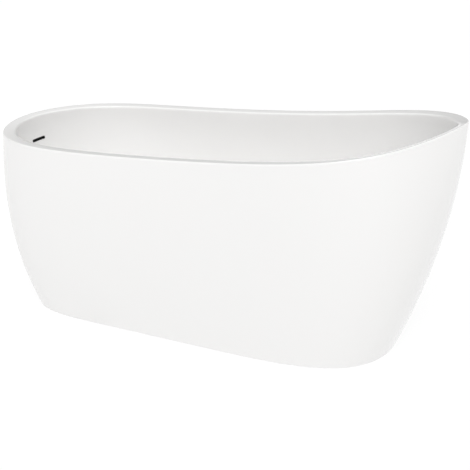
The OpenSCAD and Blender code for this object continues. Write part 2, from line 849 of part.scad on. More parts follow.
// Curved layer of the wall from depth near to depth far behind its inner face
module wall_layer(near, far) {
    height = housing_h * 2;
    translate([wall_bend_r, 0, -height / 2])
        difference() {
            cylinder(r = wall_bend_r + far, h = height, $fn = 96);
            translate([0, 0, -cut]) cylinder(r = wall_bend_r + near, h = height + 2 * cut, $fn = 96);
        }
}

// Wall of the trim's mouth, its clearance in the slot, and how far behind the gasket it reaches
mouth_wall = 1.2;
sleeve_gap = 0.3;
sleeve_past = 2;
// Run of a bar that passes right through a wall, with as much on both sides
through = 120;

module overflow_trim() {
    reach = shell_t + overflow_gasket_t + sleeve_past;
    sleeve_length = slot_length - 2 * sleeve_gap;
    sleeve_height = slot_height - 2 * sleeve_gap;
    color("black")
        at_overflow()
            difference() {
                union() {
                    intersection() {
                        wall_layer(-trim_t, -thread_gap);
                        translate([-trim_t * 4, 0, 0]) slot_bar(trim_length, trim_height, through / 4);
                    }
                    intersection() {
                        wall_layer(-trim_t / 2, reach);
                        translate([-through / 2, 0, 0]) slot_bar(sleeve_length, sleeve_height, through);
                    }
                }
                translate([-through / 2, 0, 0])
                    slot_bar(sleeve_length - 2 * mouth_wall, sleeve_height - 2 * mouth_wall, through);
            }
}

housing_length = slot_length + 16;
gasket_near = shell_t + glue_gap;

module overflow_gasket() {
    color("black")
        at_overflow()
            difference() {
                intersection() {
                    wall_layer(gasket_near, gasket_near + overflow_gasket_t);
                    translate([-through / 2, -housing_length / 2, -housing_h / 2])
                        cube([through, housing_length, housing_h]);
                }
                translate([-through / 2, 0, 0]) slot_bar(slot_length, slot_height, through);
            }
}

housing_near = gasket_near + overflow_gasket_t;
drop_pipe_len = 26;
drop_pipe_top_z = slot_z - housing_h / 2 + housing_t;
drop_pipe_low_z = drop_pipe_top_z - housing_t - drop_pipe_len;
// Straight run of the hose past each spigot
hose_lead = 4;
// Least room between the housing and the skirt, at the middle, and between the hose and the skirt
housing_spare = 5;
hose_spare = 2;
// Nearest that the hose's middle line may come to the skirt at a height
function hose_near_x(z) = skirt_foot_x(z) + hose_spare + hose_r;
housing_near_x = skirt_foot_x(slot_z) + housing_spare;
housing_back_x = max(housing_near_x, hose_near_x(drop_pipe_low_z - hose_lead) - hose_r + hose_t);
drop_pipe_x = housing_back_x + hose_r - hose_t;

// Box behind the wall, open towards the slot, that drains down to the hose
module overflow_housing() {
    color("gray")
        difference() {
            union() {
                difference() {
                    translate([housing_back_x, -housing_length / 2, slot_z - housing_h / 2])
                        cube([slot_x - housing_back_x, housing_length, housing_h]);
                    at_overflow()
                        translate([wall_bend_r, 0, -housing_h])
                            cylinder(r = wall_bend_r + housing_near, h = 2 * housing_h, $fn = 96);
                }
                translate([drop_pipe_x, 0, drop_pipe_low_z])
                    cylinder(r = spigot_r, h = drop_pipe_len + housing_t);
            }
            translate([housing_back_x + housing_t, -slot_length / 2 - 2, slot_z - housing_h / 2 + housing_t])
                cube([slot_x - housing_back_x, slot_length + 4, housing_h - 2 * housing_t]);
            translate([drop_pipe_x, 0, drop_pipe_low_z - cut])
                cylinder(r = spigot_bore_r, h = drop_pipe_len + housing_t + 2 * cut);
        }
}

// ---- overflow hose ----

hose_sides = 12;
// Length of a spigot inside the hose, and height where the hose turns under the basin
hose_grip = 18;
hose_low_z = basin_floor_h + 70;
hose_start = [drop_pipe_x, drop_pipe_low_z + hose_grip];
hose_straight = [drop_pipe_x, drop_pipe_low_z - hose_lead];
hose_end = [waste_pos_x - body_r - spigot_len + hose_grip, inlet_z];
hose_turn = [waste_pos_x - body_r - spigot_len - hose_lead, inlet_z];

// Middle of the gap between the walls at the foot end
function gap_x(z) = (skirt_foot_x(z) + basin_foot_x(z) - shell_t) / 2;
// Smooth curve led by four points
function bend(a, b, c, d, t) =
    a * pow(1 - t, 3) + b * 3 * t * pow(1 - t, 2) + c * 3 * t * t * (1 - t) + d * pow(t, 3);

hose_corner = [gap_x(hose_low_z), hose_low_z];
hose_fall_z = mix(hose_straight[1], hose_low_z, 0.3);
hose_fall_a = [max(drop_pipe_x, hose_near_x(hose_fall_z)), hose_fall_z];
hose_fall_b = [gap_x(mix(hose_straight[1], hose_low_z, 0.55)) - 6, mix(hose_straight[1], hose_low_z, 0.7)];
hose_bend_a = hose_corner + (hose_corner - hose_fall_b) * 0.9;
hose_bend_b = [mix(hose_corner[0], hose_turn[0], 0.45), inlet_z];
hose_path = concat(
    [hose_start],
    [for (k = [0:7]) bend(hose_straight, hose_fall_a, hose_fall_b, hose_corner, k / 8)],
    [for (k = [0:10]) bend(hose_corner, hose_bend_a, hose_bend_b, hose_turn, k / 10)],
    [hose_end]
);

function unit(v) = v / norm(v);
function hose_normal(i) =
    let (last = len(hose_path) - 1,
         t = unit(hose_path[min(last, i + 1)] - hose_path[max(0, i - 1)]))
    [-t[1], t[0]];
function hose_ring(i, r) =
    let (n = i <= 1 ? [1, 0] : i >= len(hose_path) - 2 ? [0, 1] : hose_normal(i))
    [for (k = [0:hose_sides - 1])
        let (a = 360 * k / hose_sides)
        [hose_path[i][0] + n[0] * r * cos(a), r * sin(a), hose_path[i][1] + n[1] * r * cos(a)]];

module overflow_hose() {
    count = len(hose_path);
    rings = concat(
        [for (i = [0:count - 1]) hose_ring(i, hose_r)],
        [for (i = [count - 1:-1:0]) hose_ring(i, hose_r - hose_t)]
    );
    total = 2 * count;
    color("gray")
        polyhedron(
            points = [for (ring = rings) each ring],
            faces = [
                for (r = [0:total - 1])
                    for (k = [0:hose_sides - 1])
                        let (a = r * hose_sides, b = ((r + 1) % total) * hose_sides, j = (k + 1) % hose_sides)
                        each [[a + k, b + j, b + k], [a + k, a + j, b + j]]
            ],
            convexity = 10
        );
}

clamp_w = 7;
clamp_t = 1;
clamp_block = 6;
clamp_inset = 6;

// Band with a screw block at its side
module clamp_band() {
    difference() {
        union() {
            cylinder(r = hose_r + clamp_t, h = clamp_w);
            translate([-clamp_block / 2, hose_r, 0]) cube([clamp_block, clamp_block - clamp_t, clamp_w]);
        }
        translate([0, 0, -cut]) cylinder(r = hose_r + thread_gap / 2, h = clamp_w + 2 * cut);
    }
}

module hose_clamp_top() {
    color("silver") translate([drop_pipe_x, 0, drop_pipe_low_z + clamp_inset]) clamp_band();
}

module hose_clamp_bottom() {
    color("silver")
        translate([waste_pos_x - body_r - spigot_len + clamp_inset, 0, inlet_z])
            rotate([0, 90, 0]) clamp_band();
}

// ---- nodes ----

basin_shell();
outer_skirt();
floor_laminate();
base_board();
long_rail(-1);  // long_rail_1
long_rail(1);  // long_rail_2
cross_rail(-rail_foot_x);  // cross_rail_foot
cross_rail(rail_mid_x);  // cross_rail_mid
cross_rail(rail_head_x);  // cross_rail_head
rail_plugs();
board_screws();
skirt_straps();
skirt_blocks();
strap_screws();
for (i = [1:5]) {
    foot_boss(foot_places[i - 1]);
    foot_lock_nut(foot_places[i - 1]);
    foot_stud(foot_places[i - 1]);
    foot_pad(foot_places[i - 1]);
}
waste_flange();
waste_seal();
waste_gasket();
waste_back_nut();
waste_body();
stopper_cap();
stopper_seal();
stopper_stem();
stopper_guide();
stopper_spring();
tail_pipe();
tail_slip_nut();
overflow_trim();
overflow_gasket();
overflow_housing();
overflow_hose();
hose_clamp_top();
hose_clamp_bottom();
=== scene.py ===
import json
import math

import bmesh
import bpy
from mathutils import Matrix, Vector


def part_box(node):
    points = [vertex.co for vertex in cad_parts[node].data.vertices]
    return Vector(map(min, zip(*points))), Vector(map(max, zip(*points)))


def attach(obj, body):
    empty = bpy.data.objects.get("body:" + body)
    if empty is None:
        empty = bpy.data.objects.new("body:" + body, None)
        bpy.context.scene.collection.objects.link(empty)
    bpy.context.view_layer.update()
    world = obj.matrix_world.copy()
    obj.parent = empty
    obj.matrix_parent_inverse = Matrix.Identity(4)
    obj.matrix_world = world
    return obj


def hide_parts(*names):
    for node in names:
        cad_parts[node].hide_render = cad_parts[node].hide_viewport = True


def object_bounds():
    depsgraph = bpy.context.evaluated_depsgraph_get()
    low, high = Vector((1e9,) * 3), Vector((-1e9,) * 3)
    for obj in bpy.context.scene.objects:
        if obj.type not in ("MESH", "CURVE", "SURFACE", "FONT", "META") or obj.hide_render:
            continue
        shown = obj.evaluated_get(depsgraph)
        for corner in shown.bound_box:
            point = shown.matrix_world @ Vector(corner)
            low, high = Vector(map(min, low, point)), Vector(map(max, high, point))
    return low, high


# Freestanding bath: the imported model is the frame, and every piece here goes where the frame says.
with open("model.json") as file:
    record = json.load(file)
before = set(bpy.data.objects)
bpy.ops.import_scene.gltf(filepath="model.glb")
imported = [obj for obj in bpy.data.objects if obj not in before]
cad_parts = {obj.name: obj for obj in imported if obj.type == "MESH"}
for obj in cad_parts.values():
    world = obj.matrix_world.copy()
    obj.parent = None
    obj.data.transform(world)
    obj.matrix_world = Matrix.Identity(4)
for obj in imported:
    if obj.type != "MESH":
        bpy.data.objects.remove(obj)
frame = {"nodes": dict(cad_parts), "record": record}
CAD_LOW, CAD_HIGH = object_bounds()
RECORD = frame["record"]
MM = 0.001
TAU = 2 * math.pi
SLOT_OF = {part["node"]: part["material_slot"] for part in RECORD["subparts"]}


# ---------------------------------------------------------------- sizes

# The rim and the outer skirt, in metres. The overall sizes come from the frame.
HALF_LENGTH = (CAD_HIGH[0] - CAD_LOW[0]) / 2
HALF_WIDTH = (CAD_HIGH[1] - CAD_LOW[1]) / 2
RIM_HEIGHTS = [0.600, 0.581, 0.621, 0.612, 0.7218]
RIM_SIZE = (HALF_LENGTH, HALF_LENGTH, HALF_WIDTH)
MOUTH_SIZE = (HALF_LENGTH - 33 * MM, HALF_LENGTH - 27 * MM, HALF_WIDTH - 42 * MM)
BASE_SIZE = (0.645, 0.607, 0.2805)
FLOOR_SIZE = (0.520, 0.330, 0.200)
RIM_THICK = 8 * MM
RIM_FALL = 2 * MM
OUTER_ROUND = 4 * MM
INNER_ROUND = 7 * MM
SKIRT_THICK = 6 * MM
SHELL_THICK = 8 * MM
FLOOR_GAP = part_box("outer_skirt")[0][2]

# Powers of the outlines (foot and head, along and across), and of the walls' curves
RIM_POW = (5.5, 5.5, 1.8, 1.2)
BASE_POW = (8.25, 4.2, 3.0, 2.4)
FLOOR_POW = (4.0, 3.2, 2.4, 2.0)
SPREAD_POW = (2.55, 1.91, 2.1)
RISE_POW = (1.6, 1.5, 1.8)
TIP_BLEND = 0.35
CROWDING = 1.6

# The waste's axis, and the basin floor's height and fall there
FLANGE_LOW, FLANGE_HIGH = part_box("waste_flange")
WASTE_X = (FLANGE_LOW[0] + FLANGE_HIGH[0]) / 2
FLOOR_HEIGHT = 0.140
FLOOR_FALL = math.tan(math.radians(0.5))


def mix(a, b, t):
    return a + (b - a) * t


def mix_all(a, b, t):
    return tuple(mix(p, q, t) for p, q in zip(a, b))


def grown(size, by):
    return tuple(s + by for s in size)


def rim_height(x):
    t = min(1.0, max(0.0, x / (2 * HALF_LENGTH) + 0.5))
    return sum(math.comb(4, i) * t**i * (1 - t) ** (4 - i) * h for i, h in enumerate(RIM_HEIGHTS))


def blend_sine(s, power):
    return s * ((s * s + TIP_BLEND**2) / (1 + TIP_BLEND**2)) ** (1 / power - 0.5)


def outline_point(turn, size, pows):
    """The point of an outline at a share of a full turn, with its points crowded towards the sides."""
    quarter, share = divmod((turn % 1.0) * 4, 1.0)
    along = share if quarter in (0, 2) else 1 - share
    angle = math.pi / 2 * (1 - along) ** CROWDING
    c, s = math.sin(angle), math.cos(angle)
    head = quarter in (0, 3)
    s = s if quarter in (0, 1) else -s
    x = size[1] * c ** (2 / pows[1]) if head else -size[0] * c ** (2 / pows[0])
    return x, size[2] * blend_sine(s, pows[3 if head else 2])


def skirt_point(turn, u, inset):
    """The skirt's face at share u of its height."""
    spread = [1 - (1 - u) ** p for p in SPREAD_POW]
    size = tuple(mix(b, r, k) for b, r, k in zip(BASE_SIZE, RIM_SIZE, spread))
    x, y = outline_point(turn, grown(size, -inset), mix_all(BASE_POW, RIM_POW, u))
    rim_x, _ = outline_point(turn, RIM_SIZE, RIM_POW)
    return Vector((x, y, mix(FLOOR_GAP, rim_height(rim_x) - RIM_THICK, u)))


def basin_point(turn, v, thick, drop):
    """The basin wall's face at share v of its height, with its thickness added on the outside."""
    rise = [(1 - (1 - v) ** p) ** (1 / p) for p in RISE_POW]
    size = tuple(mix(f, m, k) for f, m, k in zip(FLOOR_SIZE, MOUTH_SIZE, rise))
    x, y = outline_point(turn, grown(size, thick), mix_all(FLOOR_POW, RIM_POW, v))
    foot_x, _ = outline_point(turn, FLOOR_SIZE, FLOOR_POW)
    mouth_x, _ = outline_point(turn, MOUTH_SIZE, RIM_POW)
    low = FLOOR_HEIGHT + (foot_x - WASTE_X) * FLOOR_FALL - thick
    return Vector((x, y, mix(low, rim_height(mouth_x) - drop, v)))


def rim_point(turn, size, drop):
    x, y = outline_point(turn, size, RIM_POW)
    return Vector((x, y, rim_height(x) - drop))


# ---------------------------------------------------------------- modelling helpers

def let_go():
    if bpy.context.object and bpy.context.object.mode != "OBJECT":
        bpy.ops.object.mode_set(mode="OBJECT")
    bpy.ops.object.select_all(action="DESELECT")


def hold(*objects):
    let_go()
    for obj in objects:
        obj.select_set(True)
    bpy.context.view_layer.objects.active = objects[0]
    return objects[0]


def named(name):
    """The primitive just added, with its name and its place put into its mesh."""
    obj = bpy.context.object
    obj.name = name
    obj.data.name = name
    bpy.ops.object.transform_apply(location=True, rotation=True, scale=True)
    return obj


def settle(obj, at=(0, 0, 0), turn=(0, 0, 0)):
    """Puts a finished shape in its place, in millimetres, with the place in its mesh."""
    hold(obj)
    obj.location = Vector(at) * MM
    obj.rotation_euler = turn
    bpy.ops.object.transform_apply(location=True, rotation=True, scale=True)
    return obj


def copy_of(obj, name, at=(0, 0, 0), turn=(0, 0, 0)):
    twin = obj.copy()
    twin.data = obj.data.copy()
    twin.name = name
    twin.data.name = name
    bpy.context.collection.objects.link(twin)
    return settle(twin, at, turn)


def joined(name, objects):
    hold(*objects)
    if len(objects) > 1:
        bpy.ops.object.join()
    obj = bpy.context.object
    obj.name = name
    obj.data.name = name
    return obj


def pick(obj, kind, wanted):
    """Selects the vertices, edges or faces that the test wants, and stays in edit mode."""
    hold(obj)
    bpy.ops.object.mode_set(mode="EDIT")
    bpy.ops.mesh.select_mode(type=kind)
    bpy.ops.mesh.select_all(action="DESELECT")
    mesh = bmesh.from_edit_mesh(obj.data)
    for item in {"VERT": mesh.verts, "EDGE": mesh.edges, "FACE": mesh.faces}[kind]:
        item.select_set(bool(wanted(item)))
    mesh.select_flush_mode()
    bmesh.update_edit_mesh(obj.data)


def apply_modifiers(obj):
    hold(obj)
    for modifier in list(obj.modifiers):
        bpy.ops.object.modifier_apply(modifier=modifier.name)
    return obj


def smooth(obj, degrees=35):
    hold(obj)
    bpy.ops.object.shade_smooth_by_angle(angle=math.radians(degrees))
    return obj


def soften(obj, width, segments=2, degrees=30):
    """Rounds every sharp edge by a width in millimetres."""
    modifier = obj.modifiers.new("soft_edges", "BEVEL")
    modifier.width = width * MM
    modifier.segments = segments
    modifier.limit_method = "ANGLE"
    modifier.angle_limit = math.radians(degrees)
    return apply_modifiers(obj)


def combine(obj, tool, operation="DIFFERENCE"):
    modifier = obj.modifiers.new("combine", "BOOLEAN")
    modifier.operation = operation
    modifier.solver = "EXACT"
    modifier.object = tool
    apply_modifiers(obj)
    bpy.data.objects.remove(tool)
    return obj


def outwards(obj):
    hold(obj)
    bpy.ops.object.mode_set(mode="EDIT")
    bpy.ops.mesh.select_all(action="SELECT")
    bpy.ops.mesh.remove_doubles(threshold=MM / 1000)
    bpy.ops.mesh.normals_make_consistent(inside=False)
    bpy.ops.object.mode_set(mode="OBJECT")
    return obj


def drawn(name, steps, count, place_at, ends="poles"):
    """A tube of count rings, cut from one cylinder; place_at gives each point's place from its turn and ring.

    The ends are left to close by themselves at poles, filled flat, or bridged into a loop.
    """
    let_go()
    bpy.ops.mesh.primitive_cylinder_add(
        vertices=steps, radius=1.0, depth=1.0, end_fill_type="NOTHING", location=(0, 0, 0.5))
    obj = named(name)
    spans_left = count - 1
    for cuts in ring_cuts(spans_left):
        pick(obj, "EDGE", lambda e: abs(e.verts[0].co.z - e.verts[1].co.z) > 1e-5)
        bpy.ops.mesh.subdivide(number_cuts=cuts)
    bpy.ops.object.mode_set(mode="OBJECT")
    for v in obj.data.vertices:
        turn = round(math.atan2(v.co.y, v.co.x) / (2 * math.pi) * steps) / steps
        v.co = place_at(turn % 1.0, round(v.co.z * spans_left))
    if ends != "poles":
        pick(obj, "EDGE", lambda e: e.is_boundary)
        if ends == "loop":
            bpy.ops.mesh.bridge_edge_loops()
        else:
            bpy.ops.mesh.fill_holes(sides=0)
        bpy.ops.object.mode_set(mode="OBJECT")
    return outwards(obj)


def ring_cuts(spans_wanted):
    """Cuts for each pass that divides a span into that many, with no pass too fine."""
    cuts = []
    for factor in range(2, 90):
        while spans_wanted % factor == 0 and spans_wanted > 1:
            if cuts and (cuts[-1] + 1) * factor < 90:
                cuts[-1] = (cuts[-1] + 1) * factor - 1
            else:
                cuts.append(factor - 1)
            spans_wanted //= factor
    return cuts


def turned(name, profile, steps=48, hollow=False, edge=0.0, lobes=None):
    """A lathe-turned shape about Z from its profile of radius and height, in millimetres."""
    def place_at(turn, ring):
        r, z = profile[ring]
        if lobes:
            r += lobes(turn, r, z)
        return Vector((r * math.cos(TAU * turn), r * math.sin(TAU * turn), z)) * MM

    obj = drawn(name, steps, len(profile), place_at, "loop" if hollow else "poles")
    if edge:
        soften(obj, edge)
    return smooth(obj)


def lathed_ring(name, r_in, r_out, low, high, edge, steps=64):
    return turned(name, [(r_in, low), (r_out, low), (r_out, high), (r_in, high)], steps, True, edge)


def block(name, low, high, edge, segments=2):
    """A block between two corners, in millimetres, with rounded edges."""
    let_go()
    low, high = Vector(low), Vector(high)
    size = (high - low) * MM
    bpy.ops.mesh.primitive_cube_add(size=1.0, location=(low + high) / 2 * MM, scale=size)
    obj = named(name)
    pick(obj, "EDGE", lambda e: True)
    bpy.ops.mesh.bevel(offset=edge * MM, segments=segments, affect="EDGES")
    bpy.ops.object.mode_set(mode="OBJECT")
    return smooth(obj)


def threaded(name, radius, low, high, pitch, steps=24, per_turn=6, depth=None):
    """A helical thread with run-outs at both ends, in millimetres."""
    depth = depth or pitch * 0.55
    count = max(8, int((high - low) / pitch * per_turn)) + 1
    count += count % 2 + 1

    def place_at(turn, ring):
        z = mix(low, high, ring / (count - 1))
        phase = (z / pitch - turn) % 1.0
        ridge = min(1.0, 2.4 * abs(phase - 0.5))
        near_end = min(1.0, min(z - low, high - z) / (pitch * 0.8))
        r = radius - depth * max(1 - ridge, 0.9 * (1 - near_end))
        return Vector((r * math.cos(TAU * turn), r * math.sin(TAU * turn), z)) * MM

    return smooth(drawn(name, steps, count, place_at, "caps"), 50)


def hexagon(name, flats, bore, low, high, chamfer=1.2):
    """A hexagon with its corners turned off at both faces, and a chamfered bore if it has one."""
    corner = flats / 2 / math.cos(math.radians(30))
    face = flats / 2 * 0.97
    let_go()
    bpy.ops.mesh.primitive_cylinder_add(
        vertices=6, radius=corner * MM, depth=(high - low) * MM, location=(0, 0, (low + high) / 2 * MM))
    obj = named(name)
    outside = [(face, low), (corner + 0.2, low + chamfer), (corner + 0.2, high - chamfer), (face, high)]
    if bore:
        inside = [(bore + 0.6, high), (bore, high - 0.6), (bore, low + 0.6), (bore + 0.6, low)]
        tool = turned("hex_tool", outside + inside, 48, True)
    else:
        tool = turned("hex_tool", [(0, low)] + outside + [(0, high)], 48)
    combine(obj, tool, "INTERSECT")
    soften(obj, 0.15, 1, 25)
    return smooth(obj)


def refined(node, name, edge, segments=2, body="tub"):
    """A CAD node's shape, merged and cleaned, with its edges rounded."""
    source = frame["nodes"][node]
    obj = source.copy()
    obj.data = source.data.copy()
    obj.name = name
    obj.data.name = name
    obj.parent = None
    bpy.context.collection.objects.link(obj)
    hold(obj)
    bpy.ops.object.mode_set(mode="EDIT")
    bpy.ops.mesh.select_all(action="SELECT")
    bpy.ops.mesh.remove_doubles(threshold=MM / 200)
    bpy.ops.mesh.dissolve_limited(angle_limit=math.radians(1))
    bpy.ops.object.mode_set(mode="OBJECT")
    soften(obj, edge, segments, 40)
    smooth(obj)
    return finished(obj, SLOT_OF[node], body, node)


def finished(obj, slot_name, body, *stands_for):
    """Gives a piece its finish and its body, and hides the nodes that it stands for."""
    obj.data.materials.clear()
    obj.data.materials.append(FINISHES[slot_name])
    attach(obj, body)
    if stands_for:
        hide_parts(*stands_for)
    return obj


def spans(node):
    """A CAD node's lowest and highest corner and its middle, in millimetres."""
    low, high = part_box(node)
    low, high = Vector(low) / MM, Vector(high) / MM
    return low, high, (low + high) / 2


# ---------------------------------------------------------------- camera

TARGET = Vector((0, 0, 0.300))
CAMERA_AZIMUTH = math.radians(24.943)
CAMERA_ELEVATION = math.radians(21.234)
CAMERA_DISTANCE = 2.574
PAN = math.radians(1.103)
TILT = math.radians(-0.734)
LENS = 59.72


def backwards(azimuth, elevation):
    return Vector((
        math.sin(azimuth) * math.cos(elevation),
        -math.cos(azimuth) * math.cos(elevation),
        math.sin(elevation),
    ))


def make_camera():
    data = bpy.data.cameras.new("camera")
    data.lens = LENS
    data.sensor_width = 36
    data.clip_end = 60
    camera = bpy.data.objects.new("camera", data)
    bpy.context.collection.objects.link(camera)
    camera.location = TARGET + backwards(CAMERA_AZIMUTH, CAMERA_ELEVATION) * CAMERA_DISTANCE
    look = -backwards(CAMERA_AZIMUTH - PAN, CAMERA_ELEVATION - TILT)
    camera.rotation_mode = "QUATERNION"
    camera.rotation_quaternion = look.to_track_quat("-Z", "Y")
    bpy.context.scene.camera = camera


make_camera()


# ---------------------------------------------------------------- shader helpers

class Value:
    """A number socket that can be used in Python sums."""

    def __init__(self, tree, socket):
        self.tree = tree
        self.socket = socket

    def sum(self, operation, *terms, clamp=False):
        node = self.tree.nodes.new("ShaderNodeMath")
        node.operation = operation
        node.use_clamp = clamp
        for slot, term in zip(node.inputs, terms):
            if isinstance(term, Value):
                self.tree.links.new(term.socket, slot)
            else:
                slot.default_value = term
        return Value(self.tree, node.outputs[0])

    def __add__(self, other):
        return self.sum("ADD", self, other)

    def __radd__(self, other):
        return self.sum("ADD", other, self)

    def __sub__(self, other):
        return self.sum("SUBTRACT", self, other)

    def __rsub__(self, other):
        return self.sum("SUBTRACT", other, self)

    def __mul__(self, other):
        return self.sum("MULTIPLY", self, other)

    def __rmul__(self, other):
        return self.sum("MULTIPLY", other, self)

    def __truediv__(self, other):
        return self.sum("DIVIDE", self, other)

    def __rtruediv__(self, other):
        return self.sum("DIVIDE", other, self)

    def __pow__(self, other):
        return self.sum("POWER", self, other)

    def clamped(self):
        return self.sum("ADD", self, 0.0, clamp=True)


class Finish:
    """A material in the making, with one Principled shader."""

    def __init__(self, name, **uniform):
        self.material = bpy.data.materials.new(name)
        self.material.use_nodes = True
        self.tree = self.material.node_tree
        self.shader = self.tree.nodes["Principled BSDF"]
        for key, value in uniform.items():
            self.shader.inputs[key.replace("_", " ")].default_value = value
        self.place = self.node("ShaderNodeTexCoord", output="Object")

    def node(self, kind, settings=None, inputs=None, output=0):
        made = self.tree.nodes.new(kind)
        for key, value in (settings or {}).items():
            if key == "stops":
                while len(made.color_ramp.elements) < len(value):
                    made.color_ramp.elements.new(0.5)
                for element, (position, color) in zip(made.color_ramp.elements, value):
                    element.position = position
                    element.color = color
            else:
                setattr(made, key, value)
        for key, value in (inputs or {}).items():
            if isinstance(value, Value):
                self.tree.links.new(value.socket, made.inputs[key])
            else:
                made.inputs[key].default_value = value
        return Value(self.tree, made.outputs[output])

    def stretched(self, scale):
        return self.node("ShaderNodeMapping", inputs={"Vector": self.place, "Scale": scale})

    def noise(self, scale, detail=3.0, roughness=0.5, vector=None):
        return self.node(
            "ShaderNodeTexNoise",
            inputs={
                "Vector": vector or self.place, "Scale": scale, "Detail": detail, "Roughness": roughness,
            },
        )

    def cells(self, scale, vector=None, feature="F1"):
        return self.node(
            "ShaderNodeTexVoronoi", {"feature": feature}, {"Vector": vector or self.place, "Scale": scale},
        )

    def ramp(self, factor, stops):
        return self.node("ShaderNodeValToRGB", {"stops": stops}, {"Fac": factor})

    def blend(self, factor, a, b):
        return self.node(
            "ShaderNodeMix", {"data_type": "RGBA"}, {0: factor, 6: a, 7: b}, output=2,
        )

    def link(self, socket, value):
        self.tree.links.new(value.socket, self.shader.inputs[socket])

    def bump(self, height, strength, distance):
        self.link("Normal", self.node(
            "ShaderNodeBump", inputs={"Height": height, "Strength": strength, "Distance": distance},
        ))


def grey(level, alpha=1.0):
    return (level, level, level, alpha)


# ---------------------------------------------------------------- finishes

def acrylic():
    """Gloss sanitary acrylic: a deep even white with a faint formed ripple."""
    f = Finish("gloss_white_acrylic", Coat_Weight=0.25, Coat_Roughness=0.04, IOR=1.49)
    cloud = f.noise(3.0, 2.0)
    f.link("Base Color", f.blend(cloud, (0.930, 0.925, 0.917, 1), (0.939, 0.934, 0.927, 1)))
    fine = f.noise(900.0, 2.0)
    f.link("Roughness", 0.14 + 0.05 * cloud + 0.03 * fine)
    ripple = f.noise(9.0, 1.0)
    f.bump(0.9 * ripple + 0.02 * fine, 0.06, 0.002)
    return f.material


def laminate():
    """Chopped glass-fibre laid in resin: matted strands under a blotchy amber skin."""
    f = Finish("glass_fibre_laminate")
    strands = f.noise(90.0, 5.0, 0.7, f.stretched((1.0, 6.0, 1.0)))
    crossing = f.noise(90.0, 5.0, 0.7, f.stretched((6.0, 1.0, 1.0)))
    blotch = f.noise(11.0, 3.0)
    mat = strands * 0.5 + crossing * 0.5
    f.link("Base Color", f.blend(
        (mat * 0.6 + blotch * 0.4).clamped(), (0.42, 0.36, 0.24, 1), (0.74, 0.70, 0.58, 1)))
    f.link("Roughness", 0.35 + 0.3 * mat)
    f.bump(mat, 0.7, 0.0012)
    return f.material


def plywood():
    """Birch plywood: grain along the board on its faces and darker glue lines on its edges."""
    f = Finish("birch_plywood")
    grain = f.noise(26.0, 6.0, 0.65, f.stretched((0.7, 14.0, 14.0)))
    figure = f.noise(5.0, 2.0, 0.5, f.stretched((0.5, 6.0, 3.0)))
    plies = f.node(
        "ShaderNodeTexWave", {"bands_direction": "Z", "wave_profile": "SAW"},
        {"Vector": f.place, "Scale": 130.0, "Distortion": 0.6, "Detail": 1.0},
    )
    tone = (grain * 0.55 + figure * 0.35 + plies * 0.15).clamped()
    f.link("Base Color", f.ramp(tone, [
        (0.25, (0.36, 0.22, 0.11, 1)), (0.55, (0.58, 0.41, 0.24, 1)), (0.85, (0.72, 0.56, 0.36, 1)),
    ]))
    f.link("Roughness", 0.5 + 0.25 * grain)
    f.bump(grain * 0.8 + plies * 0.3, 0.35, 0.0006)
    return f.material


def frame_paint():
    """Satin grey paint on welded tube, with orange peel and a few rubbed spots."""
    f = Finish("satin_grey_paint")
    peel = f.noise(420.0, 2.0)
    wear = f.noise(24.0, 6.0, 0.75)
    rubbed = ((wear - 0.68) * 9.0).clamped()
    f.link("Base Color", f.blend(rubbed, (0.052, 0.056, 0.060, 1), (0.20, 0.20, 0.20, 1)))
    f.link("Roughness", 0.38 + 0.18 * peel - 0.08 * rubbed)
    f.link("Metallic", rubbed * 0.6)
    f.bump(peel, 0.25, 0.0004)
    return f.material


def zinc_plate(name="zinc_plate", dark=0.50, light=0.66):
    """Zinc on steel: a soft crystal mottle under a pale dull sheen."""
    f = Finish(name, Metallic=1.0)
    spangle = f.cells(260.0)
    haze = f.noise(60.0, 4.0)
    f.link("Base Color", f.blend(
        (spangle * 0.5 + haze * 0.5).clamped(),
        (dark, dark, dark * 1.03, 1), (light, light, light * 1.02, 1)))
    f.link("Roughness", 0.28 + 0.22 * haze)
    f.bump(haze, 0.15, 0.0003)
    return f.material


def chrome():
    """Polished chrome plate with hairline wiping marks."""
    f = Finish("polished_chrome", Metallic=1.0)
    marks = f.noise(300.0, 3.0, 0.6, f.stretched((1.0, 9.0, 1.0)))
    film = f.noise(18.0, 2.0)
    f.link("Base Color", f.blend(film, (0.70, 0.71, 0.73, 1), (0.80, 0.81, 0.82, 1)))
    f.link("Roughness", 0.05 + 0.07 * marks + 0.03 * film)
    f.bump(marks, 0.05, 0.0002)
    return f.material


def moulded(name, dark, light, rough):
    """Injection-moulded polymer with a fine spark texture."""
    f = Finish(name)
    spark = f.noise(1400.0, 2.0)
    flow = f.noise(14.0, 3.0)
    f.link("Base Color", f.blend(flow, dark, light))
    f.link("Roughness", rough + 0.12 * spark + 0.06 * flow)
    f.bump(spark, 0.18, 0.0003)
    return f.material


def rubber():
    """Soft black seal rubber with a dusty bloom."""
    f = Finish("seal_rubber")
    bloom = f.noise(70.0, 5.0, 0.7)
    f.link("Base Color", f.blend(bloom, (0.010, 0.010, 0.010, 1), (0.035, 0.034, 0.033, 1)))
    f.link("Roughness", 0.6 + 0.25 * bloom)
    f.bump(bloom, 0.2, 0.0003)
    return f.material


FINISHES = {
    "acrylic": acrylic(),
    "laminate": laminate(),
    "plywood": plywood(),
    "frame_steel": frame_paint(),
    "zinc_steel": zinc_plate(),
    "spring_steel": zinc_plate("drawn_wire", 0.40, 0.52),
    "chrome": chrome(),
    "black_plastic": moulded("black_polymer", (0.012, 0.012, 0.012, 1), (0.022, 0.022, 0.022, 1), 0.42),
    "black_trim": moulded("satin_black_trim", (0.003, 0.003, 0.003, 1), (0.005, 0.005, 0.005, 1), 0.5),
    "grey_plastic": moulded("grey_polymer", (0.52, 0.53, 0.54, 1), (0.60, 0.61, 0.62, 1), 0.4),
    "seal_rubber": rubber(),
}

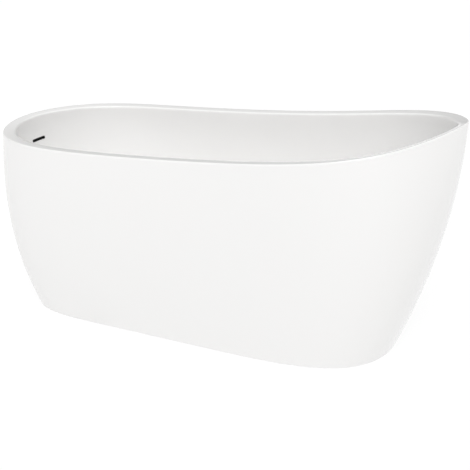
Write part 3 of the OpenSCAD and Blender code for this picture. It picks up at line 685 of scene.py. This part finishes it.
# Every CAD node that stays takes its slot's finish.
for part in RECORD["subparts"]:
    mesh = frame["nodes"][part["node"]].data
    mesh.materials.clear()
    mesh.materials.append(FINISHES[part["material_slot"]])


# ---------------------------------------------------------------- shells

RING = 256


def corner(k, steps):
    """How far along and how far down step k of a quarter-round edge is, as shares of its radius."""
    a = math.pi / 2 * k / steps
    return math.sin(a), 1 - math.cos(a)


def shell(name, rings, ends):
    return drawn(name, RING, len(rings), lambda turn, k: rings[k](turn), ends)


def make_skirt():
    rows = 44
    hem_steps = 4
    outer = [lambda t, u=k / rows: skirt_point(t, u, 0) for k in range(rows + 1)]
    inner = [lambda t, u=k / rows: skirt_point(t, u, SKIRT_THICK) for k in range(rows, -1, -1)]
    hem = [lambda t, w=SKIRT_THICK * k / hem_steps: skirt_point(t, 0, w) for k in range(hem_steps - 1, 0, -1)]
    obj = shell("skirt_skin", outer + inner + hem, "loop")
    finished(smooth(obj), "acrylic", "tub", "outer_skirt")


def basin_rings():
    rows = 46
    steps = 6
    share = [1 - math.cos(math.pi / 2 * k / rows) for k in range(rows + 1)]
    under = [lambda t, v=v: basin_point(t, v, SHELL_THICK, RIM_THICK) for v in share[::2]]
    edge = [lambda t: rim_point(t, RIM_SIZE, RIM_THICK)]
    for k in range(steps + 1):
        s, c = corner(k, steps)
        edge.append(lambda t, s=s, c=c: rim_point(
            t, grown(RIM_SIZE, -OUTER_ROUND * c), OUTER_ROUND * (1 - s)))
    deck = []
    for k in range(1, 4):
        deck.append(lambda t, k=k / 4: rim_point(
            t, mix_all(grown(RIM_SIZE, -OUTER_ROUND), grown(MOUTH_SIZE, INNER_ROUND), k), RIM_FALL * k))
    for k in range(steps + 1):
        s, c = corner(k, steps)
        deck.append(lambda t, s=s, c=c: rim_point(
            t, grown(MOUTH_SIZE, INNER_ROUND * (1 - s)), RIM_FALL + INNER_ROUND * c))
    bath = [
        lambda t, v=v: basin_point(t, v, 0, RIM_FALL + INNER_ROUND) for v in reversed(share[:-1])
    ]
    return under + edge + deck + bath


def waste_tool(radius, low, high):
    """A turned cutter on the waste's axis, in millimetres."""
    tool = turned("waste_tool", [(0, low), (radius, low), (radius, high), (0, high)], 96)
    return settle(tool, (WASTE_X / MM, 0, 0))


def make_basin():
    obj = shell("basin_skin", basin_rings(), "caps")
    seat = SEAT_Z
    boss = waste_tool(SEAT_R, seat - 8.5, seat + 1)
    combine(obj, boss, "UNION")
    dish = turned("waste_dish", [
        (0, seat), (RECESS_R - 1.2, seat), (RECESS_R, seat + 0.8), (RECESS_R + 0.4, seat + 2),
        (RECESS_R + 1.6, seat + 3.1), (RECESS_R + 3, seat + 4), (0, seat + 4),
    ], 96)
    combine(obj, settle(dish, (WASTE_X / MM, 0, 0)))
    combine(obj, waste_tool(WASTE_HOLE_R, seat - 20, seat + 20))
    combine(obj, slot_loft("slot_tool", [(0, -SLOT_TOOL_REACH), (0, SLOT_TOOL_REACH)], "caps"))
    finished(smooth(obj, 28), "acrylic", "tub", "basin_shell")


# ---------------------------------------------------------------- overflow

SLOT_LENGTH = 66
SLOT_HEIGHT = 7
SLOT_Z = 515
TRIM_BORDER = 1.5
TRIM_PROUD = 1.2
MOUTH_INSET = 1.5
SLEEVE_BACK = 11.5
SLOT_TOOL_REACH = 20


def wall_x(y, z):
    """The bath wall's x at the foot end at a width and a height, all in millimetres."""
    near, far = 0.5, 0.36
    for _ in range(40):
        turn = (near + far) / 2
        low = basin_point(turn, 0, 0, RIM_FALL + INNER_ROUND)
        high = basin_point(turn, 1, 0, RIM_FALL + INNER_ROUND)
        share = (z * MM - low.z) / (high.z - low.z)
        point = basin_point(turn, share, 0, RIM_FALL + INNER_ROUND)
        if point.y < abs(y) * MM:
            near = turn
        else:
            far = turn
    return point.x / MM


WALL_LEAN = math.atan((wall_x(0, SLOT_Z + 10) - wall_x(0, SLOT_Z - 10)) / 20)


def on_wall(y, up, out):
    """A point by its place on the foot end's wall: across, up the wall, and out of it into the bath."""
    x = wall_x(y, SLOT_Z + up * math.cos(WALL_LEAN))
    return Vector((
        x + out * math.cos(WALL_LEAN), y, SLOT_Z + up * math.cos(WALL_LEAN) - out * math.sin(WALL_LEAN),
    )) * MM


def slot_outline(turn, length, height):
    """A point of a round-ended slot, evenly spaced along its edge."""
    flat = length - height
    run = (turn % 1.0) * (2 * flat + math.pi * height)
    half_arc = math.pi * height / 2
    side = 1
    if run > flat + half_arc:
        run -= flat + half_arc
        side = -1
    if run < flat:
        return side * (flat / 2 - run), side * height / 2
    angle = (run - flat) / (height / 2)
    return -side * (flat / 2 + math.sin(angle) * height / 2), side * math.cos(angle) * height / 2


def slot_loft(name, profile, ends):
    """A slot-shaped loft. Each row of the profile is a spread round the slot and a reach out of the wall."""
    def place_at(turn, ring):
        spread, out = profile[ring]
        y, up = slot_outline(turn, SLOT_LENGTH + 2 * spread, SLOT_HEIGHT + 2 * spread)
        return on_wall(y, up, out)

    return drawn(name, 144, len(profile), place_at, ends)


def make_trim():
    mouth = -MOUTH_INSET
    border = TRIM_BORDER
    profile = [
        (border - 0.1, -0.3), (border, 0.0), (border, 0.55),
        (border - 0.25, 0.95), (border - 0.75, TRIM_PROUD),
        (mouth + 0.8, TRIM_PROUD), (mouth + 0.2, 0.95), (mouth, 0.5), (mouth, -SLEEVE_BACK),
        (-0.3, -SLEEVE_BACK), (-0.3, -0.3),
    ]
    trim = slot_loft("slot_trim", profile, "loop")
    bars = [trim]
    bar_gap = 7.8
    bar_count = 7
    bar_reach = SLOT_HEIGHT / 2 - 0.9
    for k in range(bar_count):
        y = (k - (bar_count - 1) / 2) * bar_gap
        bar = block("trim_bar", (-0.6, -0.7, -bar_reach), (0.6, 0.7, bar_reach), 0.2)
        place_at = on_wall(y, 0, -SLEEVE_BACK + 3) / MM
        bars.append(settle(bar, place_at, (0, -WALL_LEAN, 0)))
    finished(smooth(joined("slot_trim", bars), 30), "black_trim", "tub", "overflow_trim")


def bezier(points, t):
    return sum(
        (math.comb(3, k) * t**k * (1 - t) ** (3 - k) * Vector(p) for k, p in enumerate(points)),
        Vector((0, 0)),
    )


HOSE_R = 9.0
RIDGE_DEPTH = 0.7
SKIRT_FOOT_TOP = 590


def hose_route():
    """The hose's middle line in the tub's middle plane, from the housing to the waste, in millimetres."""
    _, high, _ = spans("overflow_hose")
    top, _, centre = spans("hose_clamp_top")
    start_x = centre.x
    turn_z = spans("hose_clamp_bottom")[2].z
    lead_z = top.z - 10
    end_x = spans("hose_clamp_bottom")[0].x - 10
    corner_z = 210
    corner_x = (skirt_point(0.5, corner_z / SKIRT_FOOT_TOP, SKIRT_THICK).x + basin_end_x(corner_z)) / 2 / MM
    fall = [
        (start_x, lead_z), (start_x, mix(lead_z, corner_z, 0.3)),
        (corner_x - 12, mix(lead_z, corner_z, 0.7)), (corner_x, corner_z),
    ]
    ahead = (Vector(fall[3]) - Vector(fall[2])) * 0.9
    sweep = [
        (corner_x, corner_z), tuple(Vector(fall[3]) + ahead),
        (mix(corner_x, end_x, 0.45), turn_z), (end_x, turn_z),
    ]
    points = [Vector((start_x, high.z))]
    points += [bezier(fall, k / 30) for k in range(31)]
    points += [bezier(sweep, k / 40) for k in range(1, 41)]
    points.append(Vector((high.x, turn_z)))
    return points


def basin_end_x(z):
    share = (z * MM - FLOOR_HEIGHT) / (RIM_HEIGHTS[0] - FLOOR_HEIGHT)
    return basin_point(0.5, share, SHELL_THICK, RIM_THICK).x


def make_hose():
    route = hose_route()
    lengths = [0.0]
    for a, b in zip(route, route[1:]):
        lengths.append(lengths[-1] + (b - a).length)
    rings = 481
    steps = 20
    ridge_every = 4
    plain_rings = 26

    def at_length(run):
        k = max(1, next((i for i, s in enumerate(lengths) if s >= run), len(lengths) - 1))
        share = (run - lengths[k - 1]) / (lengths[k] - lengths[k - 1])
        return route[k - 1].lerp(route[k], share)

    centres = [at_length(lengths[-1] * k / (rings - 1)) for k in range(rings)]

    def place_at(turn, ring):
        a, b = centres[max(0, ring - 2)], centres[min(rings - 1, ring + 2)]
        along = (b - a).normalized()
        across = Vector((-along.y, along.x))
        smooth_end = ring < plain_rings or ring > rings - 1 - plain_rings
        r = HOSE_R if smooth_end else HOSE_R - RIDGE_DEPTH * (1 + math.cos(TAU * ring / ridge_every))
        flat = centres[ring] + across * r * math.cos(TAU * turn)
        return Vector((flat.x, r * math.sin(TAU * turn), flat.y)) * MM

    hose = drawn("ribbed_hose", steps, rings, place_at, "caps")
    finished(smooth(hose, 60), "grey_plastic", "tub", "overflow_hose")


def make_clamp(node, turn):
    """A worm-drive clamp: band, screw housing and screw."""
    low, _, middle = spans(node)
    band = lathed_ring("band", 9.05, 10, -3.5, 3.5, 0.3)
    house = block("house", (-3, 9.4, -3.3), (3, 13.4, 3.3), 0.8, 3)
    screw = turned("worm", [(0, -5), (1.9, -5), (1.9, -4), (1.3, -3.6), (1.3, 4), (0, 4)], 20, edge=0.2)
    head = hexagon("head", 5, 0, -5.6, -3.4, 0.5)
    for part in (screw, head):
        settle(part, (0, 0, 0), (0, math.pi / 2, 0))
        settle(part, (0, 12.4, 0))
    clamp = joined(node + "_band", [band, house, screw, head])
    if turn:
        settle(clamp, (0, 0, 0), (0, math.pi / 2, 0))
        place_at = (middle.x, 0, spans("waste_body")[0].z + INLET_RISE)
    else:
        place_at = (low.x + 10, 0, middle.z)
    settle(clamp, place_at)
    finished(smooth(clamp), "zinc_steel", "tub", node)


INLET_RISE = 32


# ---------------------------------------------------------------- waste and stopper

SEAT_Z = 137.5
SEAT_R = 45
RECESS_R = 37
WASTE_HOLE_R = 26
FLANGE_TOP = FLANGE_HIGH[2] / MM
FLANGE_FOOT = FLANGE_LOW[2] / MM
FLANGE_R = 35
TUBE_R = 24
THROAT_R = 21


def at_waste(obj):
    return settle(obj, (WASTE_X / MM, 0, 0))


def make_waste():
    under = SEAT_Z + 1
    flange = turned("strainer_flange", [
        (THROAT_R + 0.4, FLANGE_FOOT), (TUBE_R - 0.8, FLANGE_FOOT), (TUBE_R, FLANGE_FOOT + 0.8),
        (TUBE_R, under), (FLANGE_R - 0.4, under), (FLANGE_R, under + 0.5), (FLANGE_R, under + 1.6),
        (FLANGE_R - 0.6, under + 2.5), (FLANGE_R - 2, FLANGE_TOP), (THROAT_R + 6, FLANGE_TOP - 0.15),
        (THROAT_R + 3, FLANGE_TOP - 0.4), (THROAT_R + 1, FLANGE_TOP - 1.4), (THROAT_R, FLANGE_TOP - 3),
        (THROAT_R, FLANGE_FOOT + 0.5),
    ], 96, True)
    finished(at_waste(flange), "chrome", "tub", "waste_flange")

    low, high, _ = spans("waste_seal")
    seal = lathed_ring("flange_seal", TUBE_R + 0.3, FLANGE_R - 1, low.z, high.z, 0.25)
    finished(at_waste(seal), "seal_rubber", "tub", "waste_seal")

    low, high, _ = spans("waste_gasket")
    step = (high.z - low.z) / 3
    gasket = turned("stepped_gasket", [
        (TUBE_R + 0.3, low.z), (33, low.z), (36, low.z + step), (40, low.z + 2 * step), (40, high.z),
        (TUBE_R + 0.3, high.z),
    ], 72, True, 0.3)
    finished(at_waste(gasket), "seal_rubber", "tub", "waste_gasket")

    refined("waste_back_nut", "lugged_back_nut", 0.7)
    refined("stopper_guide", "stem_guide", 0.3)
    refined("tail_slip_nut", "slip_nut_body", 0.9)

    low, high, _ = spans("tail_pipe")
    pipe = turned("outlet_pipe", [
        (18.9, low.z), (19.5, low.z), (20, low.z + 0.6), (20, low.z + 17), (19.6, low.z + 17.4),
        (19.6, high.z), (18.5, high.z), (18.5, low.z + 0.5),
    ], 72, True)
    finished(at_waste(pipe), "grey_plastic", "tub", "tail_pipe")

    low, high, _ = spans("tail_slip_nut")
    ribs = []
    for k in range(24):
        rib = block("grip", (26.6, -0.8, low.z + 2), (28.6, 0.8, high.z - 2), 0.35, 1)
        ribs.append(settle(rib, (0, 0, 0), (0, 0, TAU * (k + 0.5) / 24)))
    grip = at_waste(joined("slip_nut_grips", ribs))
    finished(grip, "grey_plastic", "tub")


def make_waste_body():
    body = refined("waste_body", "waste_tee", 0.8)
    _, high, _ = spans("waste_body")
    ribs = []
    for k in range(12):
        rib = block("rib", (27.4, -0.9, 48), (29.8, 0.9, high.z - 6), 0.5, 1)
        ribs.append(settle(rib, (0, 0, 0), (0, 0, TAU * (k + 0.5) / 12)))
    collar = lathed_ring("collar", 28, 29.6, high.z - 6, high.z - 1, 0.5)
    finished(at_waste(joined("tee_ribs", ribs + [collar])), "grey_plastic", "tub")
    return body


def make_stopper():
    low, high, _ = spans("stopper_cap")
    r = high.y
    base = low.z
    cap = turned("stopper_dome", [
        (0, base), (r - 2.2, base), (r - 0.9, base + 0.35), (r - 0.15, base + 1.1), (r, base + 1.9),
        (r - 0.2, base + 2.9), (r - 0.9, base + 3.6), (r - 2.2, base + 4.05), (r * 0.8, base + 4.4),
        (r * 0.5, base + 4.95), (r * 0.2, base + 5.38), (0, base + 5.5),
    ], 128)
    finished(at_waste(cap), "chrome", "stopper", "stopper_cap")

    low, high, _ = spans("stopper_seal")
    seal = turned("stopper_ring", [
        (THROAT_R - 2, low.z + 0.5), (THROAT_R - 1.5, low.z), (THROAT_R + 4, low.z + 0.3),
        (THROAT_R + 7, low.z), (THROAT_R + 7, high.z - 0.6), (THROAT_R + 6.4, high.z), (THROAT_R - 2, high.z),
    ], 72, True, 0.2)
    finished(at_waste(seal), "seal_rubber", "stopper", "stopper_seal")

    low, high, _ = spans("stopper_stem")
    stem_top = high.z
    stem = turned("stopper_rod", [
        (0, low.z), (5.4, low.z), (6, low.z + 0.5), (6, low.z + 1.6), (5.4, low.z + 2), (4, low.z + 2),
        (4, low.z + 5), (3.6, low.z + 5.5), (3.6, low.z + 6.5), (4, low.z + 7), (4, stem_top - 3),
        (8.4, stem_top - 3), (8.9, stem_top - 2.6), (8.9, stem_top), (0, stem_top),
    ], 40)
    finished(at_waste(stem), "chrome", "stopper", "stopper_stem")


# ---------------------------------------------------------------- frame

RAIL_W = 25
RAIL_WALL = 1.5
RAIL_LOW = spans("cross_rail_mid")[0].z
RAIL_TOP = RAIL_LOW + RAIL_W
FEET = [spans(f"foot_stud_{i}")[2] for i in range(1, 6)]
RAIL_Y = abs(FEET[0].y)
CROSS_X = [FEET[0].x, FEET[4].x, FEET[2].x]


def tube(name, low, high, along, holes):
    """A square tube with rounded corners, open at both ends, drilled through its lower wall."""
    let_go()
    low, high = Vector(low), Vector(high)
    bpy.ops.mesh.primitive_cube_add(size=1.0, location=(low + high) / 2 * MM, scale=(high - low) * MM)
    obj = named(name)
    pick(obj, "EDGE", lambda e: abs((e.verts[0].co - e.verts[1].co)[along]) > 1e-4)
    bpy.ops.mesh.bevel(offset=3 * MM, segments=4, affect="EDGES")
    bpy.ops.object.mode_set(mode="OBJECT")
    pick(obj, "FACE", lambda f: abs(f.normal[along]) > 0.9)
    bpy.ops.mesh.delete(type="FACE")
    bpy.ops.object.mode_set(mode="OBJECT")
    wall = obj.modifiers.new("wall", "SOLIDIFY")
    wall.thickness = RAIL_WALL * MM
    wall.offset = -1
    apply_modifiers(obj)
    for x, y, z, r in holes:
        tool = turned("drill", [(0, -3), (r, -3), (r, 3), (0, 3)], 32)
        combine(obj, settle(tool, (x, y, z)))
    return smooth(obj, 40)


def weld(name, a, b, radius=2.4):
    """A rippled bead between two points, in millimetres."""
    a, b = Vector(a), Vector(b)
    rings = 25
    ripple = 3

    def place_at(turn, ring):
        share = ring / (rings - 1)
        end = math.sin(math.pi * min(1, max(0, share))) ** 0.35
        r = radius * (0.86 + 0.14 * math.cos(TAU * ring / ripple)) * end
        return Vector((r * math.cos(TAU * turn), r * math.sin(TAU * turn), share * (b - a).length)) * MM

    bead = drawn(name, 10, rings, place_at)
    hold(bead)
    bead.rotation_mode = "QUATERNION"
    bead.rotation_quaternion = (b - a).to_track_quat("Z", "Y")
    bead.location = a * MM
    bpy.ops.object.transform_apply(location=True, rotation=True, scale=True)
    bead.rotation_mode = "XYZ"
    return smooth(bead, 60)


def make_frame():
    screw_xs = [p[0] for p in SCREW_PLACES if p[1] > 0]
    for k, side in ((1, -1), (2, 1)):
        node = f"long_rail_{k}"
        low, high, middle = spans(node)
        holes = [(x, middle.y, RAIL_LOW, 6.5) for x in (FEET[0].x, FEET[2].x)]
        holes += [(x, middle.y, RAIL_LOW, 5.5) for x in screw_xs]
        rail = tube(f"side_rail_{k}", low, high, 0, holes)
        finished(rail, "frame_steel", "tub", node)
        for end, x in ((-1, low.x), (1, high.x)):
            end_plug(f"rail_plug_{k}_{'foot' if end < 0 else 'head'}", x, middle.y, end)
    for name, x in zip(("foot", "mid", "head"), CROSS_X):
        node = f"cross_rail_{name}"
        low, high, middle = spans(node)
        holes = [(x, 0, RAIL_LOW, 6.5)] if name == "mid" else []
        finished(tube(f"cross_tube_{name}", low, high, 1, holes), "frame_steel", "tub", node)
    beads = []
    reach = RAIL_Y - RAIL_W / 2
    for x in CROSS_X:
        for side in (-1, 1):
            y = side * (reach - 0.4)
            for edge in (-1, 1):
                bx = x + edge * (RAIL_W / 2)
                beads.append(weld("bead", (bx, y, RAIL_LOW + 2), (bx, y, RAIL_TOP - 2)))
            beads.append(weld("bead", (x - 10, y, RAIL_LOW + 0.2), (x + 10, y, RAIL_LOW + 0.2), 2.0))
    finished(joined("frame_welds", beads), "frame_steel", "tub")


PLUGS = []


def end_plug(name, x, y, side):
    """A push-in end cap with a flat, round-edged face and gripping fins."""
    half = RAIL_W / 2
    middle_z = RAIL_LOW + half
    face = block(name, (0, -half, -half), (2, half, half), 0.8, 3)
    parts = [face]
    for k in range(3):
        fin = half - RAIL_WALL - 0.1
        parts.append(block("fin", (-3 - 3.4 * k, -fin, -fin), (-1.6 - 3.4 * k, fin, fin), 0.4, 1))
    core = block("core", (-12, -7.5, -7.5), (1, 7.5, 7.5), 0.6, 1)
    plug = joined(name, parts + [core])
    settle(plug, (0, 0, 0), (0, 0, math.pi if side < 0 else 0))
    PLUGS.append(settle(plug, (x, y, middle_z)))


def make_plugs():
    finished(joined("rail_end_plugs", PLUGS), "black_plastic", "tub", "rail_plugs")


# Screws, straps and blocks
STRAP_XS = [-435, 90, 390]
STRAP_W = 30
STRAP_T = 3
BLOCK_HALF = 22
BOARD_LOW = spans("base_board")[0].z
SCREW_XS = [-357, -80, 40, 237.6]
SCREW_PLACES = [(x, side * RAIL_Y) for x in SCREW_XS for side in (-1, 1)]


def skirt_half_width(x, z):
    """The skirt's inner half-width at a place along and a height, in millimetres."""
    near, far = (0.0, 0.25) if x > 0 else (0.5, 0.25)
    for _ in range(40):
        turn = (near + far) / 2
        low, high = skirt_point(turn, 0, SKIRT_THICK).z, skirt_point(turn, 1, SKIRT_THICK).z
        point = skirt_point(turn, (z * MM - low) / (high - low), SKIRT_THICK)
        if abs(point.x) > abs(x) * MM:
            near = turn
        else:
            far = turn
    return point.y / MM


def block_reach(x):
    return min(skirt_half_width(x - BLOCK_HALF, RAIL_LOW), skirt_half_width(x + BLOCK_HALF, RAIL_LOW))


def screw_shape(name, length):
    """A pan-head screw standing on its head, with a cross recess and a threaded shank."""
    head = turned(name, [
        (0, 0), (2.6, 0), (3.9, 0.5), (4.5, 1.5), (4.5, 2.2), (4.2, 2.5), (0, 2.5),
    ], 40)
    for turn in (0, math.pi / 2):
        slit = block("slit", (-2.4, -0.45, -1), (2.4, 0.45, 1.4), 0.05, 1)
        combine(head, settle(slit, (0, 0, 0), (0, 0, turn)))
    shank = threaded("shank", 2.0, 2.4, 2.4 + length, 1.4, 12, 5, 0.5)
    return smooth(joined(name, [head, shank]), 35)


def make_screws():
    short = screw_shape("short_screw", 9)
    head_low = BOARD_LOW - RAIL_WALL - 2.5
    copies = [copy_of(short, "screw", (x, y, head_low)) for x, y in SCREW_PLACES]
    finished(joined("board_fixings", copies), "zinc_steel", "tub", "board_screws")
    head_low = RAIL_LOW - STRAP_T - 2.5
    copies = []
    for x in STRAP_XS:
        for side in (-1, 1):
            copies.append(copy_of(short, "screw", (x, side * RAIL_Y, head_low)))
            copies.append(copy_of(short, "screw", (x, side * (block_reach(x) - 20), head_low)))
    finished(joined("strap_fixings", copies), "zinc_steel", "tub", "strap_screws")
    bpy.data.objects.remove(short)


def make_straps():
    straps = []
    for x in STRAP_XS:
        outer = block_reach(x) - 4
        for side in (-1, 1):
            near, far = sorted((side * (RAIL_Y - 20), side * outer))
            low_z = RAIL_LOW - STRAP_T
            strap = block("strap", (x - STRAP_W / 2, near, low_z), (x + STRAP_W / 2, far, RAIL_LOW), 0.7)
            rib_near = side * (RAIL_Y + 18)
            rib_far = side * (outer - 26)
            near, far = sorted((rib_near, rib_far))
            if far - near > 4:
                rib = block("rib", (x - 3, near, low_z - 1.6), (x + 3, far, low_z + 0.4), 0.8)
                straps.append(rib)
            straps.append(strap)
    finished(joined("skirt_ties", straps), "zinc_steel", "tub", "skirt_straps")
    refined("skirt_blocks", "glue_blocks", 0.8)


# ---------------------------------------------------------------- board and laminate

BOARD_INSET = 18


def board_ring(turn, inset, z):
    size = grown(FLOOR_SIZE, -(BOARD_INSET + inset) * MM)
    x, y = outline_point(turn, size, FLOOR_POW)
    return Vector((x, y, z * MM))


def make_board():
    low, high, _ = spans("base_board")
    rows = [
        (1.0, low.z), (0.3, low.z + 0.3), (0, low.z + 1),
        (0, high.z - 1), (0.3, high.z - 0.3), (1.0, high.z),
    ]
    board = drawn("ply_board", 160, len(rows), lambda t, k: board_ring(t, *rows[k]), "caps")
    combine(board, waste_tool(53, low.z - 5, high.z + 5))
    finished(smooth(board), "plywood", "tub", "base_board")


def make_laminate():
    """The wet-laid layer under the floor, ragged at its edge, that beds the board."""
    low, high, _ = spans("floor_laminate")
    under = (FLOOR_HEIGHT - SHELL_THICK) / MM

    def place_at(turn, ring):
        drop = [low.z, low.z + 1.2, None, None][ring]
        ragged = 1.2 * math.sin(37 * TAU * turn) * math.sin(23 * TAU * turn + 1) - 1.2
        inset = (0.8 if ring in (0, 3) else 0) - ragged
        point = board_ring(turn, inset, 0)
        top = under + (point.x - WASTE_X) / MM * FLOOR_FALL - 0.05
        point.z = (drop if drop is not None else top - (1.0 if ring == 2 else 0)) * MM
        return point

    bed = drawn("laminate_bed", 240, 4, place_at, "caps")
    combine(bed, waste_tool(49, low.z - 5, high.z + 8))
    finished(smooth(bed), "laminate", "tub", "floor_laminate")


# ---------------------------------------------------------------- feet

THREAD_PITCH = 1.75
STUD_R = 5.9
BOSS_R = 10.9


def make_feet():
    stud_low, stud_high, _ = spans("foot_stud_1")
    collar_low = spans("foot_pad_1")[1].z + 0.3
    rod = threaded("rod", STUD_R, collar_low + 5.5, stud_high.z, THREAD_PITCH, 28, 6, 0.95)
    neck = turned("neck", [
        (0, stud_low.z), (2.6, stud_low.z), (4.9, stud_low.z + 1), (STUD_R, stud_low.z + 2.6),
        (STUD_R, collar_low - 0.6), (STUD_R - 0.5, collar_low + 0.2), (0, collar_low + 0.2),
    ], 40)
    collar = hexagon("collar", 17, 0, collar_low, collar_low + 6)
    stud = joined("stud", [rod, neck, collar])

    boss_low, boss_high, _ = spans("foot_boss_1")
    boss = turned("boss", [
        (6, boss_low.z + 0.8), (6.8, boss_low.z), (BOSS_R - 0.9, boss_low.z), (BOSS_R, boss_low.z + 0.9),
        (BOSS_R, boss_high.z), (6, boss_high.z),
    ], 56, True)
    ring = turned("boss_weld", [
        (BOSS_R - 1, boss_high.z), (BOSS_R - 0.8, boss_high.z - 2.6), (BOSS_R + 1.0, boss_high.z - 2.0),
        (BOSS_R + 2.2, boss_high.z - 0.8), (BOSS_R + 2.5, boss_high.z),
    ], 72, True, 0.0, lambda turn, r, z: 0.22 * math.sin(TAU * 18 * turn) if r > BOSS_R else 0)
    boss = joined("boss", [boss, ring])

    nut_low, nut_high, _ = spans("foot_lock_nut_1")
    nut = hexagon("nut", 18, 6, nut_low.z, nut_high.z)

    pad_low, pad_high, _ = spans("foot_pad_1")
    pad_r = (pad_high.x - pad_low.x) / 2
    hub = 12.9

    def knurl(turn, r, z):
        return 0.28 * (math.cos(TAU * 36 * turn) - 1) if r > pad_r - 0.6 and 1 < z < 4 else 0

    pad = turned("pad", [
        (0, 0), (pad_r - 6, 0), (pad_r - 5.4, 0.5), (pad_r - 4.6, 0.5), (pad_r - 4, 0), (pad_r - 1, 0),
        (pad_r - 0.3, 0.4), (pad_r, 1.1), (pad_r, 3.2), (pad_r - 0.4, 3.9), (pad_r - 1.3, 4.4),
        (pad_r - 5, 6.0), (hub + 3.4, 8.2), (hub + 1.1, 10.4), (hub, 11.4), (hub - 0.6, pad_high.z),
        (7.4, pad_high.z), (6.2, pad_high.z - 1), (6.2, 5), (0, 5),
    ], 144, False, 0.0, knurl)
    ribs = []
    for k in range(8):
        rib = block("rib", (hub - 1, -0.9, 4), (pad_r - 4.4, 0.9, 5.8 + 2.2), 0.5, 1)
        pick(rib, "VERT", lambda v: v.co.x > (pad_r - 6) * MM and v.co.z > 6 * MM)
        bpy.ops.transform.translate(value=(0, 0, -1.6 * MM))
        bpy.ops.object.mode_set(mode="OBJECT")
        ribs.append(settle(rib, (0, 0, 0), (0, 0, TAU * k / 8)))
    pad = joined("pad", [pad] + ribs)
    smooth(pad, 35)

    for i, foot in enumerate(FEET, 1):
        at = (foot.x, foot.y, 0)
        finished(copy_of(stud, f"threaded_stud_{i}", at), "zinc_steel", f"stud_{i}", f"foot_stud_{i}")
        finished(copy_of(pad, f"foot_disc_{i}", at), "black_plastic", f"pad_{i}", f"foot_pad_{i}")
        finished(copy_of(boss, f"weld_nut_{i}", at), "frame_steel", "tub", f"foot_boss_{i}")
        finished(copy_of(nut, f"jam_nut_{i}", at), "zinc_steel", "tub", f"foot_lock_nut_{i}")
    for shape in (stud, pad, boss, nut):
        bpy.data.objects.remove(shape)


make_skirt()
make_basin()
make_trim()
make_hose()
make_clamp("hose_clamp_top", False)
make_clamp("hose_clamp_bottom", True)
refined("overflow_housing", "overflow_box", 1.0)
make_waste()
make_waste_body()
make_stopper()
make_frame()
make_plugs()
make_screws()
make_straps()
make_board()
make_laminate()
make_feet()


# ---------------------------------------------------------------- floor and light

def glowing(name, level, strength, diffuse):
    """A plain pale surface that stays near white and still takes a faint contact shadow."""
    material = bpy.data.materials.new(name)
    material.use_nodes = True
    shader = material.node_tree.nodes["Principled BSDF"]
    shader.inputs["Base Color"].default_value = grey(diffuse)
    shader.inputs["Roughness"].default_value = 0.9
    shader.inputs["Specular IOR Level"].default_value = 0.0
    shader.inputs["Emission Color"].default_value = grey(level)
    shader.inputs["Emission Strength"].default_value = strength
    return material


FLOOR_SIDE = 400
FLOOR_GLOW = 0.89
FLOOR_GREY = 0.12


def make_floor():
    let_go()
    bpy.ops.mesh.primitive_plane_add(size=FLOOR_SIDE, location=(0, 0, -0.0005))
    floor = named("studio_floor")
    floor.data.materials.append(glowing("pale_floor", 1.0, FLOOR_GLOW, FLOOR_GREY))


LEVEL_LIGHT = 0.06
OVERHEAD_LIGHT = 0.92
HAZE_RISE = 0.04
HAZE_FADE = 0.03


def make_world():
    """A white band at eye level, where the floor meets it, then light that grows towards the top."""
    world = bpy.data.worlds.new("studio")
    bpy.context.scene.world = world
    world.use_nodes = True
    tree = world.node_tree
    tree.nodes.clear()
    place_node = tree.nodes.new("ShaderNodeTexCoord")
    split = tree.nodes.new("ShaderNodeSeparateXYZ")
    ramp = tree.nodes.new("ShaderNodeValToRGB")
    background = tree.nodes.new("ShaderNodeBackground")
    output = tree.nodes.new("ShaderNodeOutputWorld")
    stops = ramp.color_ramp.elements
    for rise, light in ((HAZE_RISE, 1.0), (HAZE_RISE + HAZE_FADE, LEVEL_LIGHT)):
        stops.new(rise).color = grey(light)
    stops[0].position, stops[-1].position = 0.0, 1.0
    stops[0].color, stops[-1].color = grey(1.0), grey(OVERHEAD_LIGHT)
    tree.links.new(place_node.outputs["Generated"], split.inputs[0])
    tree.links.new(split.outputs["Z"], ramp.inputs["Fac"])
    tree.links.new(ramp.outputs["Color"], background.inputs["Color"])
    tree.links.new(background.outputs[0], output.inputs["Surface"])
    background.inputs["Strength"].default_value = 1.0


def make_soft_light(name, azimuth, elevation, spread, strength):
    """One even soft light over the whole floor, from a direction given as the camera's is, in degrees."""
    data = bpy.data.lights.new(name, "SUN")
    data.angle = math.radians(spread)
    data.energy = strength
    light = bpy.data.objects.new(name, data)
    bpy.context.collection.objects.link(light)
    away = backwards(math.radians(azimuth), math.radians(elevation))
    light.location = away * LIGHT_DISTANCE
    light.rotation_mode = "QUATERNION"
    light.rotation_quaternion = (-away).to_track_quat("-Z", "Y")


LIGHT_DISTANCE = 5.0
LIGHT_AZIMUTH = 22
LIGHT_ELEVATION = 57
LIGHT_SPREAD = 28
LIGHT_STRENGTH = 1.55

bpy.context.scene.view_settings.view_transform = "Standard"
make_floor()
make_world()
make_soft_light("front_soft_light", LIGHT_AZIMUTH, LIGHT_ELEVATION, LIGHT_SPREAD, LIGHT_STRENGTH)
